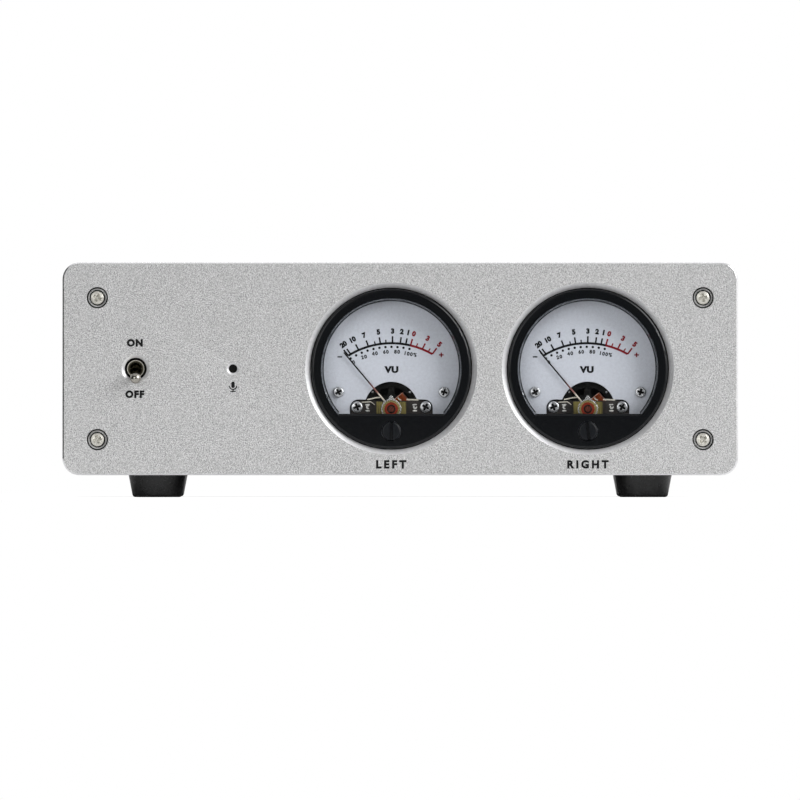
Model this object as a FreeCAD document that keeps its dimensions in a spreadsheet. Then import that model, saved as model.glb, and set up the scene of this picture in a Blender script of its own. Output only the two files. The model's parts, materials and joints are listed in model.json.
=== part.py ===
import FreeCAD, Part
import math
import os
import Sketcher
from FreeCAD import Placement, Rotation, Vector

# A twin analog level meter in a low metal case: a thick aluminium front panel with two round
# moving-coil meters, a toggle switch and a microphone hole, on a folded steel case with four feet.
# X runs to the right, Y from the front to the back, Z up, and Z = 0 is the table under the feet.

doc = FreeCAD.newDocument("level_meter")
sheet = doc.addObject("Spreadsheet::Sheet", "Sizes")

SIZES = {
    # the case as a whole
    "panel_width": 238.0,
    "panel_height": 75.0,
    "panel_thickness": 6.0,
    "panel_corner": 6.0,
    "panel_edge": 0.5,
    "panel_lift": 7.8,
    "front_face": -65.2232,
    "case_depth": 130.0,
    "case_width": 232.0,
    "case_lift": 9.0,
    "case_top": 80.8,
    "tray_sheet": 1.2,
    "cover_sheet": 1.0,
    "bend_radius": 1.6,
    # what goes through the panel
    "screw_across": 106.7,
    "screw_up": 25.0,
    "screw_shank": 1.5,
    "screw_head": 2.75,
    "counterbore": 3.75,
    "counterbore_depth": 3.2,
    "switch_place": -93.2,
    "switch_hole": 3.87,
    "mic_place": -58.9,
    "mic_hole": 1.5,
    "mic_radius": 4.85,
    # the feet
    "foot_across": 85.7,
    "foot_front": 20.0,
    "foot_rear": 116.0,
    "foot_top_radius": 10.35,
    "foot_bottom_radius": 8.85,
    # the toggle switch
    "bushing_radius": 3.0,
    "bushing_front": 2.5,
    "lever_pivot": 6.5,
    "lever_length": 13.1,
    "lever_rest": 15.0,
    "ball_radius": 1.9,
    "pin_radius": 0.5,
    # the meters
    "left_meter": -3.15,
    "right_meter": 66.15,
    "meter_hole": 28.5,
    "bezel_radius": 28.2,
    "bezel_set_back": 0.5,
    "window_radius": 24.15,
    "skirt_radius": 26.0,
    "lens_seat": 24.9,
    "lens_depth": 2.3,
    "lens_thickness": 1.2,
    "mask_top": -15.9,
    "can_depth": 26.0,
    "can_wall": 1.4,
    "can_floor": 2.0,
    "dial_depth": 8.5,
    "dial_radius": 24.4,
    "dial_thickness": 0.5,
    "dial_screw_across": 18.6,
    "dial_screw_up": -8.25,
    # the movement, about its pivot
    "pivot_drop": 14.2,
    "adjuster_drop": 22.0,
    "adjuster_radius": 3.42,
    "eccentric": 1.2,
    "bar_front": 8.8,
    "bar_thickness": 1.2,
    "bar_screw_across": 12.1,
    "bar_screw_up": 0.7,
    "bridge_front": 5.6,
    "bridge_thickness": 0.6,
    "bridge_half_width": 5.2,
    "boss_radius": 3.05,
    "pointer_depth": 7.5,
    "pointer_reach": 26.0,
    "pointer_rest": 40.0,
    "coil_front": 10.6,
    "coil_back": 21.8,
    "coil_reach": 7.0,
    "coil_wire": 1.0,
    "coil_half_width": 2.0,
    "core_radius": 5.2,
    "yoke_bore": 7.6,
    "yoke_radius": 10.2,
    "yoke_front": 12.0,
    # the circuit board and the sockets behind
    "board_lift": 16.2,
    "board_front": 62.0,
    "board_back": 127.0,
    "board_half_width": 62.0,
    "board_thickness": 1.6,
    "jack_place": -36.0,
    "jack_spacing": 14.0,
    "jack_height": 27.0,
    "jack_radius": 4.15,
    "jack_reach": 8.5,
    "power_place": 40.0,
}


class Size:
    """A number that remembers the sheet expression it comes from."""

    def __init__(self, value, text=None):
        self.value = float(value)
        self.text = text or f"({self.value:.10g})"
        self.linked = "Sizes." in self.text

    def __add__(self, other):
        other = as_size(other)
        return Size(self.value + other.value, f"({self.text} + {other.text})")

    def __sub__(self, other):
        other = as_size(other)
        return Size(self.value - other.value, f"({self.text} - {other.text})")

    def __mul__(self, other):
        other = as_size(other)
        return Size(self.value * other.value, f"({self.text} * {other.text})")

    def __truediv__(self, other):
        other = as_size(other)
        return Size(self.value / other.value, f"({self.text} / {other.text})")

    def __radd__(self, other):
        return as_size(other) + self

    def __rsub__(self, other):
        return as_size(other) - self

    def __rmul__(self, other):
        return as_size(other) * self

    def __neg__(self):
        return Size(-self.value, f"(0 - {self.text})")


def as_size(amount):
    """A plain number as a Size, and a Size as it is."""
    return amount if isinstance(amount, Size) else Size(amount)


class Words:
    """The sheet's words, each as a Size."""


s = Words()
for row, (word, value) in enumerate(SIZES.items(), start=1):
    sheet.set(f"A{row}", str(value))
    sheet.setAlias(f"A{row}", word)
    setattr(s, word, Size(value, f"Sizes.{word}"))
doc.recompute()

PANEL_CENTRE = s.panel_lift + s.panel_height / 2

# Sizes that more than one piece shares but that nothing else is worked out from.
NUT_HEIGHT = 2.0
NUT_FLATS = 8.0
NUT_ROOM = 5.5          # radius of the pocket for the switch's nut in the back of the panel
MIC_SKIN = 2.0          # metal left in front of the microphone
BOOT_WALL = 0.8
POWER_HEIGHT = 24.3     # middle of the power socket above the table
POWER_MOUTH = 4.0
STEM = 1.8              # radius of the zero adjuster's stem
SHAFT = 0.5             # radius of the coil's front shaft
FRONT_PIN = 0.28
REAR_PIN = 0.4
REAR_BEARING = 1.8      # height of the rear bearing on the can's floor
TERMINAL_ACROSS = 14.0
TERMINAL_UP = 4.0
DIAL_SCREW = 0.9        # radii of the shanks of the small screws inside a meter
BAR_SCREW = 1.0
COVER_SCREW_STEP = 38.0
COVER_SCREWS = [30.0 + number * COVER_SCREW_STEP for number in range(3)]
COVER_SCREW_HEIGHT = 15.0
SPRING_OUTER = 3.6      # where the hairspring ends on the zero lever's tab
SPRING_DEPTH = 6.6
SPRING_HEIGHT = 0.3
SPRING_STRIP = 0.14
JEWEL_SHANK = 1.2
POINTER_SHEET = 0.25
BALANCE_DROP = 5.8      # how far below the pivot the pointer's balance weight sits
BALANCE_RADIUS = 1.37

nodes = []


# ---------------------------------------------------------------- ways of making a piece

def bind(item, name, amount):
    """Give a property its amount, tied to the sheet where the amount comes from there."""
    item.setExpression(name, as_size(amount).text)


def new_body(label, x, y, z):
    """An empty body with its own name, placed with its axes along the case's axes."""
    body = doc.addObject("PartDesign::Body", label)
    body.Label = label
    bind(body, "Placement.Base.x", x)
    bind(body, "Placement.Base.y", y)
    bind(body, "Placement.Base.z", z)
    nodes.append(body)
    return body


def case_part(label, x=0, back=0, z=0):
    """A piece of the case: Y counts from the panel's front face, Z from the table."""
    return new_body(label, x, s.front_face + back, z)


def facing_part(label, x=0, up=0, depth=0, turn=0, tip=0):
    """A piece seen from the front: its X runs right, its Y up and its Z out to the viewer.

    The origin lies depth behind the panel's face and up above its middle. turn swings the piece
    anticlockwise as seen from the front, and tip leans its Z axis down.
    """
    body = new_body(label, x, s.front_face + depth, PANEL_CENTRE + up)
    upright = Rotation(Vector(1, 0, 0), 90 + as_size(tip).value)
    turned_round = Rotation(Vector(0, 0, 1), as_size(turn).value)
    body.Placement = Placement(body.Placement.Base, upright * turned_round)
    return body


def origin_item(body, role):
    """One of a body's own origin planes or axes."""
    return next(item for item in body.Origin.OriginFeatures if item.Role == role)


def sketch(body, plane="XY_Plane", offset=0):
    """A drawing on one of the body's own planes, moved out along the plane's normal."""
    drawing = body.newObject("Sketcher::SketchObject", "drawing")
    drawing.AttachmentSupport = [(origin_item(body, plane), "")]
    drawing.MapMode = "FlatFace"
    bind(drawing, "AttachmentOffset.Base.z", offset)
    return drawing


def hold(drawing, kind, amount, *where):
    """Add a measured constraint and tie it to the sheet."""
    amount = as_size(amount)
    index = drawing.addConstraint(Sketcher.Constraint(kind, *where, amount.value))
    if amount.linked:
        drawing.setExpression(f"Constraints[{index}]", amount.text)


def hold_point(drawing, element, end, x, y):
    """Hold one point of the drawing at (x, y)."""
    for kind, amount, axis in (("DistanceX", x, -2), ("DistanceY", y, -1)):
        if abs(as_size(amount).value) < 1e-9:
            drawing.addConstraint(Sketcher.Constraint("PointOnObject", element, end, axis))
        else:
            hold(drawing, kind, amount, -1, 1, element, end)


def circle(drawing, x, y, radius):
    """A circle with its centre and radius held."""
    middle = Vector(as_size(x).value, as_size(y).value, 0)
    index = drawing.addGeometry(Part.Circle(middle, Vector(0, 0, 1), as_size(radius).value))
    hold_point(drawing, index, 3, x, y)
    hold(drawing, "Radius", radius, index)


def arc_middle(start, end, radius):
    """The centre of the shorter arc from start to end; it turns left where radius is positive."""
    chord = end - start
    rise = math.sqrt(max(radius * radius - chord.Length * chord.Length / 4, 0))
    left = Vector(-chord.y, chord.x, 0).normalize()
    return (start + end) / 2 + left * math.copysign(rise, radius)


def outline(drawing, corners):
    """A closed outline through its corners.

    A corner is (x, y), or (x, y, radius) where the edge that leaves it is an arc, which turns left
    for a positive radius and right for a negative one.
    """
    places = [Vector(as_size(corner[0]).value, as_size(corner[1]).value, 0) for corner in corners]
    ends = []
    for number, corner in enumerate(corners):
        here, there = places[number], places[(number + 1) % len(places)]
        if len(corner) == 2:
            ends.append((drawing.addGeometry(Part.LineSegment(here, there)), 1, 2))
            continue
        radius = as_size(corner[2]).value
        middle = arc_middle(here, there, radius)
        first, last = (here, there) if radius > 0 else (there, here)
        angles = [math.atan2(spot.y - middle.y, spot.x - middle.x) for spot in (first, last)]
        if angles[1] < angles[0]:
            angles[1] += 2 * math.pi
        full = Part.Circle(middle, Vector(0, 0, 1), abs(radius))
        index = drawing.addGeometry(Part.ArcOfCircle(full, *angles))
        ends.append((index, 1, 2) if radius > 0 else (index, 2, 1))
    for number, corner in enumerate(corners):
        this, before = ends[number], ends[number - 1]
        drawing.addConstraint(Sketcher.Constraint("Coincident", before[0], before[2], this[0], this[1]))
        hold_point(drawing, this[0], this[1], corner[0], corner[1])
        if len(corner) == 3:
            hold(drawing, "Radius", as_size(corner[2]) if as_size(corner[2]).value > 0 else -corner[2],
                 this[0])


def box(drawing, left, right, low, high):
    """A rectangle."""
    outline(drawing, [(left, low), (right, low), (right, high), (left, high)])


def pad(body, drawing, length, forward=True, both=False):
    """Raise a drawing into a solid, along its normal, against it, or half each way."""
    feature = body.newObject("PartDesign::Pad", "raised")
    feature.Profile = (drawing, [""])
    bind(feature, "Length", length)
    feature.Reversed = not forward
    feature.Midplane = both
    return feature


def pocket(body, drawing, depth, forward=False, both=False):
    """Cut a drawing into the solid, against its normal, along it, or half each way."""
    feature = body.newObject("PartDesign::Pocket", "cut")
    feature.Profile = (drawing, [""])
    bind(feature, "Length", depth)
    feature.Reversed = forward
    feature.Midplane = both
    return feature


def turned(body, profile):
    """Turn a closed profile of (radius, height) corners about the body's Z axis."""
    drawing = sketch(body, "XZ_Plane")
    outline(drawing, profile)
    feature = body.newObject("PartDesign::Revolution", "turned")
    feature.Profile = (drawing, [""])
    feature.ReferenceAxis = (drawing, ["V_Axis"])
    feature.Angle = 360
    return feature


def tube(body, outer, inner, top, length, x=0, y=0):
    """A round tube, or a rod where inner is nothing, from height top down by length."""
    drawing = sketch(body, offset=top)
    circle(drawing, x, y, outer)
    if inner:
        circle(drawing, x, y, inner)
    return pad(body, drawing, length, forward=False)


def drill(body, centres, radius, rim=None, rim_depth=None, sink=False):
    """Drill holes down from the body's XY plane, with a counterbore or a 90 degree countersink."""
    drawing = sketch(body)
    for x, y in centres:
        circle(drawing, x, y, radius)
    doc.recompute()
    feature = body.newObject("PartDesign::Hole", "drilled")
    feature.Profile = (drawing, [""])
    feature.DepthType = "ThroughAll"
    bind(feature, "Diameter", 2 * radius)
    if rim is not None:
        feature.HoleCutType = "Countersink" if sink else "Counterbore"
        bind(feature, "HoleCutDiameter", 2 * rim)
        if sink:
            feature.HoleCutCountersinkAngle = 90
        else:
            bind(feature, "HoleCutDepth", rim_depth)
    return feature


def dress(body, kind, amount, wanted):
    """Fillet or chamfer those edges of the body so far that the wanted test picks."""
    doc.recompute()
    base = body.Tip
    names = [f"Edge{n}" for n, edge in enumerate(base.Shape.Edges, start=1) if wanted(edge)]
    feature = body.newObject("PartDesign::" + kind, kind.lower() + "ed")
    feature.Base = (base, names)
    bind(feature, "Radius" if kind == "Fillet" else "Size", amount)
    return feature


def repeat(body, axis, step, count, second_axis=None, second_step=None, second_count=1):
    """Repeat the whole body so far in a row, or in rows."""
    doc.recompute()
    feature = body.newObject("PartDesign::LinearPattern", "row")
    feature.TransformMode = "Whole shape"
    feature.Direction = (origin_item(body, axis), [""])
    bind(feature, "Length", step * (count - 1))
    feature.Occurrences = count
    if second_axis:
        feature.Direction2 = (origin_item(body, second_axis), [""])
        bind(feature, "Length2", second_step * (second_count - 1))
        feature.Occurrences2 = second_count
    body.Tip = feature


def lies_along(edge, axis):
    """Whether an edge is a straight line along one axis."""
    if not isinstance(edge.Curve, Part.Line):
        return False
    return abs(abs(edge.Curve.Direction.dot(axis)) - 1) < 1e-6


# ---------------------------------------------------------------- front panel

def front_panel():
    """A thick plate with rounded corners and a broken front edge, drilled for all it carries."""
    body = facing_part("front_panel")
    half_width, half_height = s.panel_width / 2, s.panel_height / 2
    drawing = sketch(body)
    box(drawing, -half_width, half_width, -half_height, half_height)
    pad(body, drawing, s.panel_thickness, forward=False)
    dress(body, "Fillet", s.panel_corner, lambda edge: lies_along(edge, Vector(0, 0, 1)))
    dress(body, "Chamfer", s.panel_edge, lambda edge: edge.BoundBox.ZMin > -1e-6)
    meter_rim, switch_rim, mic_rim = 1.8, 1.0, 0.65
    drill(body, [(s.left_meter, 0), (s.right_meter, 0)], s.meter_hole, s.meter_hole + meter_rim, sink=True)
    drill(body, [(s.switch_place, 0)], s.switch_hole, s.switch_hole + switch_rim, sink=True)
    drill(body, [(s.mic_place, 0)], s.mic_hole, s.mic_hole + mic_rim, sink=True)
    corners = [(i * s.screw_across, j * s.screw_up) for i in (-1, 1) for j in (-1, 1)]
    drill(body, corners, s.screw_shank + 0.2, s.counterbore, s.counterbore_depth)
    behind = -s.panel_thickness
    nut_room = sketch(body, offset=behind)
    circle(nut_room, s.switch_place, 0, NUT_ROOM)
    pocket(body, nut_room, NUT_HEIGHT + 0.4, forward=True)
    mic_room = sketch(body, offset=behind)
    circle(mic_room, s.mic_place, 0, s.mic_radius + BOOT_WALL)
    pocket(body, mic_room, s.panel_thickness - MIC_SKIN, forward=True)


def pan_screw(body, seat, head, shank, head_height, length):
    """A plain pan-head screw standing on the height of its seat, without its recess or thread."""
    turned(body, [
        (0, seat - length),
        (shank, seat - length),
        (shank, seat),
        (head, seat),
        (head, seat + head_height),
        (0, seat + head_height),
    ])


def panel_fasteners():
    """Four screws on washers in the counterbores, which hold the panel to the sheet behind it."""
    washer = 0.5
    corner = (-s.screw_across, -s.screw_up)
    both_ways = ("X_Axis", 2 * s.screw_across, 2, "Y_Axis", 2 * s.screw_up, 2)
    washers = facing_part("panel_washers", *corner)
    tube(washers, 3.5, s.screw_shank + 0.1, washer - s.counterbore_depth, washer)
    repeat(washers, *both_ways)
    screws = facing_part("panel_screws", *corner)
    pan_screw(screws, washer - s.counterbore_depth, s.screw_head, s.screw_shank, 2.0, 6.0)
    repeat(screws, *both_ways)


# ---------------------------------------------------------------- case

def chassis_tray():
    """One folded sheet: sub-front, floor and rear wall in one run, with low lips at the sides."""
    body = case_part("chassis_tray")
    sheet_thickness = s.tray_sheet
    front, back = s.panel_thickness, s.case_depth
    floor, top = s.case_lift, s.case_top - s.cover_sheet - 0.1
    half_width = s.case_width / 2 - s.cover_sheet - 0.1
    run = sketch(body, "YZ_Plane")
    outline(run, [
        (front, floor), (back, floor), (back, top), (back - sheet_thickness, top),
        (back - sheet_thickness, floor + sheet_thickness), (front + sheet_thickness, floor + sheet_thickness),
        (front + sheet_thickness, top), (front, top),
    ])
    pad(body, run, 2 * half_width, both=True)
    low = floor.value

    def outer_bend(edge):
        return lies_along(edge, Vector(1, 0, 0)) and abs(edge.CenterOfMass.z - low) < 1e-6

    dress(body, "Fillet", s.bend_radius, outer_bend)
    lip_height = 12.0
    for edge, forward in ((half_width, False), (-half_width, True)):
        lip = sketch(body, "YZ_Plane", edge)
        box(lip, front + 3, back - 3, floor + sheet_thickness / 2, floor + lip_height)
        for place in COVER_SCREWS:
            circle(lip, place, COVER_SCREW_HEIGHT, s.screw_shank + 0.02)
        pad(body, lip, sheet_thickness, forward=forward)

    holes = sketch(body, "XZ_Plane", -front)
    for place in (s.left_meter, s.right_meter):
        circle(holes, place, PANEL_CENTRE, s.skirt_radius + 0.3)
    circle(holes, s.switch_place, PANEL_CENTRE, s.bushing_radius + 0.1)
    circle(holes, s.mic_place, PANEL_CENTRE, s.mic_radius + BOOT_WALL)
    for i in (-1, 1):
        for j in (-1, 1):
            circle(holes, i * s.screw_across, PANEL_CENTRE + j * s.screw_up, s.screw_shank + 0.02)
    pocket(body, holes, sheet_thickness)

    under = sketch(body, offset=floor)
    for i in (-1, 1):
        for place in (s.foot_front, s.foot_rear):
            circle(under, i * s.foot_across, place, s.screw_shank + 0.02)
    pocket(body, under, sheet_thickness, forward=True)

    sockets = sketch(body, "XZ_Plane", -back)
    for i in (-0.5, 0.5):
        circle(sockets, s.jack_place + i * s.jack_spacing, s.jack_height, s.jack_radius + 0.4)
    circle(sockets, s.power_place, POWER_HEIGHT, POWER_MOUTH + 0.25)
    pocket(body, sockets, sheet_thickness, forward=True)


def top_cover():
    """A sheet folded down at both sides, which closes the top and sides of the tray."""
    body = case_part("top_cover")
    half_width, wall = s.case_width / 2, s.cover_sheet
    low, high = s.case_lift, s.case_top
    hoop = sketch(body, "XZ_Plane", -s.panel_thickness)
    outline(hoop, [
        (-half_width, low), (wall - half_width, low), (wall - half_width, high - wall),
        (half_width - wall, high - wall), (half_width - wall, low), (half_width, low),
        (half_width, high), (-half_width, high),
    ])
    pad(body, hoop, s.case_depth - s.panel_thickness, forward=False)
    top = high.value

    def outer_bend(edge):
        return lies_along(edge, Vector(0, 1, 0)) and abs(edge.CenterOfMass.z - top) < 1e-6

    dress(body, "Fillet", s.bend_radius, outer_bend)
    holes = sketch(body, "YZ_Plane", half_width)
    for place in COVER_SCREWS:
        circle(holes, place, COVER_SCREW_HEIGHT, s.screw_shank + 0.02)
    pocket(body, holes, 2 * half_width)


def cover_screws():
    """Three screws low on each side, through the cover into the lips of the tray."""
    head, length = 1.8, 4.0
    outside = s.case_width / 2
    screws = case_part("cover_screws", 0, COVER_SCREWS[0], COVER_SCREW_HEIGHT)
    for edge, forward in ((outside, False), (-outside, True)):
        shank = sketch(screws, "YZ_Plane", edge)
        circle(shank, 0, 0, s.screw_shank)
        pad(screws, shank, length, forward=forward)
        cap = sketch(screws, "YZ_Plane", edge)
        circle(cap, 0, 0, s.screw_head)
        pad(screws, cap, head, forward=not forward)
    repeat(screws, "Y_Axis", as_size(COVER_SCREW_STEP), len(COVER_SCREWS))


def feet():
    """Four tapered feet, each with a recess underneath for the screw that holds it."""
    rim = 1.2
    recess = 3.5
    recess_depth = 5.0
    for across, side in ((-s.foot_across, "left"), (s.foot_across, "right")):
        for place, end in ((s.foot_front, "front"), (s.foot_rear, "rear")):
            body = case_part(f"foot_{end}_{side}", across, place)
            turned(body, [
                (s.screw_shank + 0.1, recess_depth),
                (recess, recess_depth),
                (recess, 0),
                (s.foot_bottom_radius - rim, 0, rim),
                (s.foot_bottom_radius, rim),
                (s.foot_top_radius, s.case_lift),
                (s.screw_shank + 0.1, s.case_lift),
            ])
    screws = case_part("foot_screws", -s.foot_across, s.foot_front)
    head_height = 2.0
    turned(screws, [
        (0, recess_depth - head_height),
        (s.screw_head, recess_depth - head_height),
        (s.screw_head, recess_depth),
        (s.screw_shank, recess_depth),
        (s.screw_shank, s.case_lift + s.tray_sheet + 1.8),
        (0, s.case_lift + s.tray_sheet + 1.8),
    ])
    repeat(screws, "X_Axis", 2 * s.foot_across, 2, "Y_Axis", s.foot_rear - s.foot_front, 2)


# ---------------------------------------------------------------- toggle switch

def toggle_switch():
    """A miniature toggle switch: case, threaded bushing, nut, lever on a cross pin and three lugs."""
    half_width, half_height, length = 4.0, 6.5, 10.0
    strap = 0.8
    strap_top = -(s.panel_thickness + s.tray_sheet)
    case_top = strap_top - strap
    cavity = s.ball_radius + 0.1

    case = facing_part("switch_case", s.switch_place)
    block = sketch(case, offset=case_top)
    box(block, -half_width, half_width, -half_height, half_height)
    pad(case, block, length, forward=False)
    room = sketch(case, offset=case_top)
    box(room, -2.0, 2.0, -3.5, 3.5)
    pocket(case, room, 5.0)

    bushing = facing_part("switch_bushing", s.switch_place)
    mouth, throat, throat_depth = 2.4, 1.95, 4.9
    turned(bushing, [
        (mouth, -s.bushing_front),
        (s.bushing_radius, -s.bushing_front),
        (s.bushing_radius, case_top),
        (cavity, case_top),
        (cavity, -throat_depth),
        (throat, -throat_depth),
    ])
    plate = sketch(bushing, offset=strap_top)
    box(plate, -half_width, half_width, -half_height, half_height)
    circle(plate, 0, 0, cavity)
    pad(bushing, plate, strap, forward=False)
    cross = sketch(bushing, "YZ_Plane")
    circle(cross, 0, -s.lever_pivot, s.pin_radius)
    pocket(bushing, cross, 2 * s.bushing_radius, both=True)

    nut = facing_part("switch_nut", s.switch_place)
    corner = NUT_FLATS / math.sqrt(3)
    hexagon = sketch(nut, offset=NUT_HEIGHT - s.panel_thickness)
    turns = [math.radians(60 * number) for number in range(6)]
    outline(hexagon, [(corner * math.cos(turn), corner * math.sin(turn)) for turn in turns])
    circle(hexagon, 0, 0, s.bushing_radius + 0.03)
    pad(nut, hexagon, NUT_HEIGHT, forward=False)

    pin = facing_part("switch_pin", s.switch_place)
    rod = sketch(pin, "YZ_Plane")
    circle(rod, 0, -s.lever_pivot, s.pin_radius)
    pad(pin, rod, 2 * s.bushing_radius - 0.4, both=True)

    lever = facing_part("switch_lever", s.switch_place, 0, s.lever_pivot, tip=s.lever_rest)
    neck, inner_rod, inner_end = 1.15, 0.8, 4.9
    tip, tip_turn = 1.9, 0.1
    low_turn, high_turn = math.acos(inner_rod / 1.9), math.acos(neck / 1.9)
    turned(lever, [
        (0, -inner_end),
        (inner_rod, -inner_end),
        (inner_rod, -s.ball_radius * math.sin(low_turn), s.ball_radius.value),
        (neck, s.ball_radius * math.sin(high_turn)),
        (neck, 4.6),
        (tip * math.cos(tip_turn), s.lever_length - tip * math.sin(tip_turn), tip),
        (0, s.lever_length + tip),
    ])
    cross = sketch(lever, "YZ_Plane")
    circle(cross, 0, 0, s.pin_radius + 0.05)
    pocket(lever, cross, 2 * s.ball_radius + 1, both=True)

    lugs = facing_part("switch_terminals", s.switch_place)
    lug_spacing = 4.7
    blade = sketch(lugs, offset=case_top - length)
    box(blade, -1.0, 1.0, -lug_spacing - 0.4, -lug_spacing + 0.4)
    pad(lugs, blade, 4.5, forward=False)
    repeat(lugs, "Y_Axis", as_size(lug_spacing), 3)


# ---------------------------------------------------------------- microphone

def microphone():
    """An electret capsule in a rubber boot, pressed into the back of the panel."""
    back = s.panel_thickness + s.tray_sheet + 1.5
    boot = facing_part("mic_boot", s.mic_place)
    tube(boot, s.mic_radius + BOOT_WALL, s.mic_radius, -MIC_SKIN, back - MIC_SKIN)
    capsule = facing_part("mic_capsule", s.mic_place)
    inset = 0.3
    tube(capsule, s.mic_radius, None, -MIC_SKIN - inset, back - MIC_SKIN - inset)


# ---------------------------------------------------------------- circuit board and sockets

def circuit_board():
    """The driver board on four hexagonal spacers, with its amplifiers and capacitors."""
    inset = 4.5
    spacer = 3.0
    tray_floor = s.case_lift + s.tray_sheet
    top = s.board_lift + s.board_thickness
    board = case_part("main_board")
    plate = sketch(board, offset=s.board_lift)
    box(plate, -s.board_half_width, s.board_half_width, s.board_front, s.board_back)
    across, front, back = s.board_half_width - inset, s.board_front + inset, s.board_back - inset
    for i in (-1, 1):
        for place in (front, back):
            circle(plate, i * across, place, s.screw_shank + 0.1)
    pad(board, plate, s.board_thickness)
    chip_row, chip_length, chip_width, chip_height = 84.0, 4.9, 3.2, 3.6
    chips = sketch(board, offset=top)
    for middle in (-18.0, 0.0, 18.0):
        box(chips, middle - chip_length, middle + chip_length, chip_row - chip_width, chip_row + chip_width)
    pad(board, chips, chip_height)

    both_ways = ("X_Axis", 2 * across, 2, "Y_Axis", back - front, 2)
    spacers = case_part("board_standoffs", -across, front)
    hexagon = sketch(spacers, offset=tray_floor)
    turns = [math.radians(60 * number) for number in range(6)]
    outline(hexagon, [(spacer * math.cos(turn), spacer * math.sin(turn)) for turn in turns])
    circle(hexagon, 0, 0, s.screw_shank + 0.02)
    pad(spacers, hexagon, s.board_lift - tray_floor)
    repeat(spacers, *both_ways)

    screws = case_part("board_screws", -across, front)
    pan_screw(screws, top, s.screw_head, s.screw_shank, 2.0, s.board_thickness + 4.0)
    repeat(screws, *both_ways)

    cans = case_part("board_capacitors", -30.0, 104.0, top)
    tube(cans, 5.0, None, 12.5, 12.5)
    repeat(cans, "X_Axis", as_size(15.0), 3)


def rear_sockets():
    """A block with two round line sockets and a barrel power socket, standing on the board."""
    top = s.board_lift + s.board_thickness
    inner_wall = s.case_depth - s.tray_sheet
    half_width = s.jack_spacing / 2 + 6.0
    block = case_part("line_jack_block", s.jack_place)
    side = sketch(block, "XZ_Plane", -inner_wall)
    box(side, -half_width, half_width, top, s.jack_height + 6.0)
    pad(block, side, 11.0)

    pin_hole, collar, shoulder = 1.6, 0.25, 0.5
    shells = case_part("line_jack_shells", s.jack_place - s.jack_spacing / 2, 0, s.jack_height)
    for start, radius, length in (
        (inner_wall, s.jack_radius + collar, s.tray_sheet + shoulder),
        (s.case_depth + shoulder, s.jack_radius, s.jack_reach - shoulder),
    ):
        ring = sketch(shells, "XZ_Plane", -start)
        circle(ring, 0, 0, radius)
        circle(ring, 0, 0, pin_hole)
        pad(shells, ring, length, forward=False)
    repeat(shells, "X_Axis", s.jack_spacing, 2)

    power = case_part("dc_jack", s.power_place)
    side = sketch(power, "XZ_Plane", -inner_wall)
    box(side, -4.6, 4.6, top, POWER_HEIGHT + 5.5)
    pad(power, side, 13.0)
    mouth = sketch(power, "XZ_Plane", -inner_wall)
    circle(mouth, 0, POWER_HEIGHT, POWER_MOUTH)
    pad(power, mouth, s.tray_sheet + 0.6, forward=False)
    hollow = sketch(power, "XZ_Plane", -s.case_depth - 0.6)
    circle(hollow, 0, POWER_HEIGHT, 3.2)
    circle(hollow, 0, POWER_HEIGHT, 1.05)
    pocket(power, hollow, 10.0, forward=True)


# ---------------------------------------------------------------- meter housing

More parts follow.
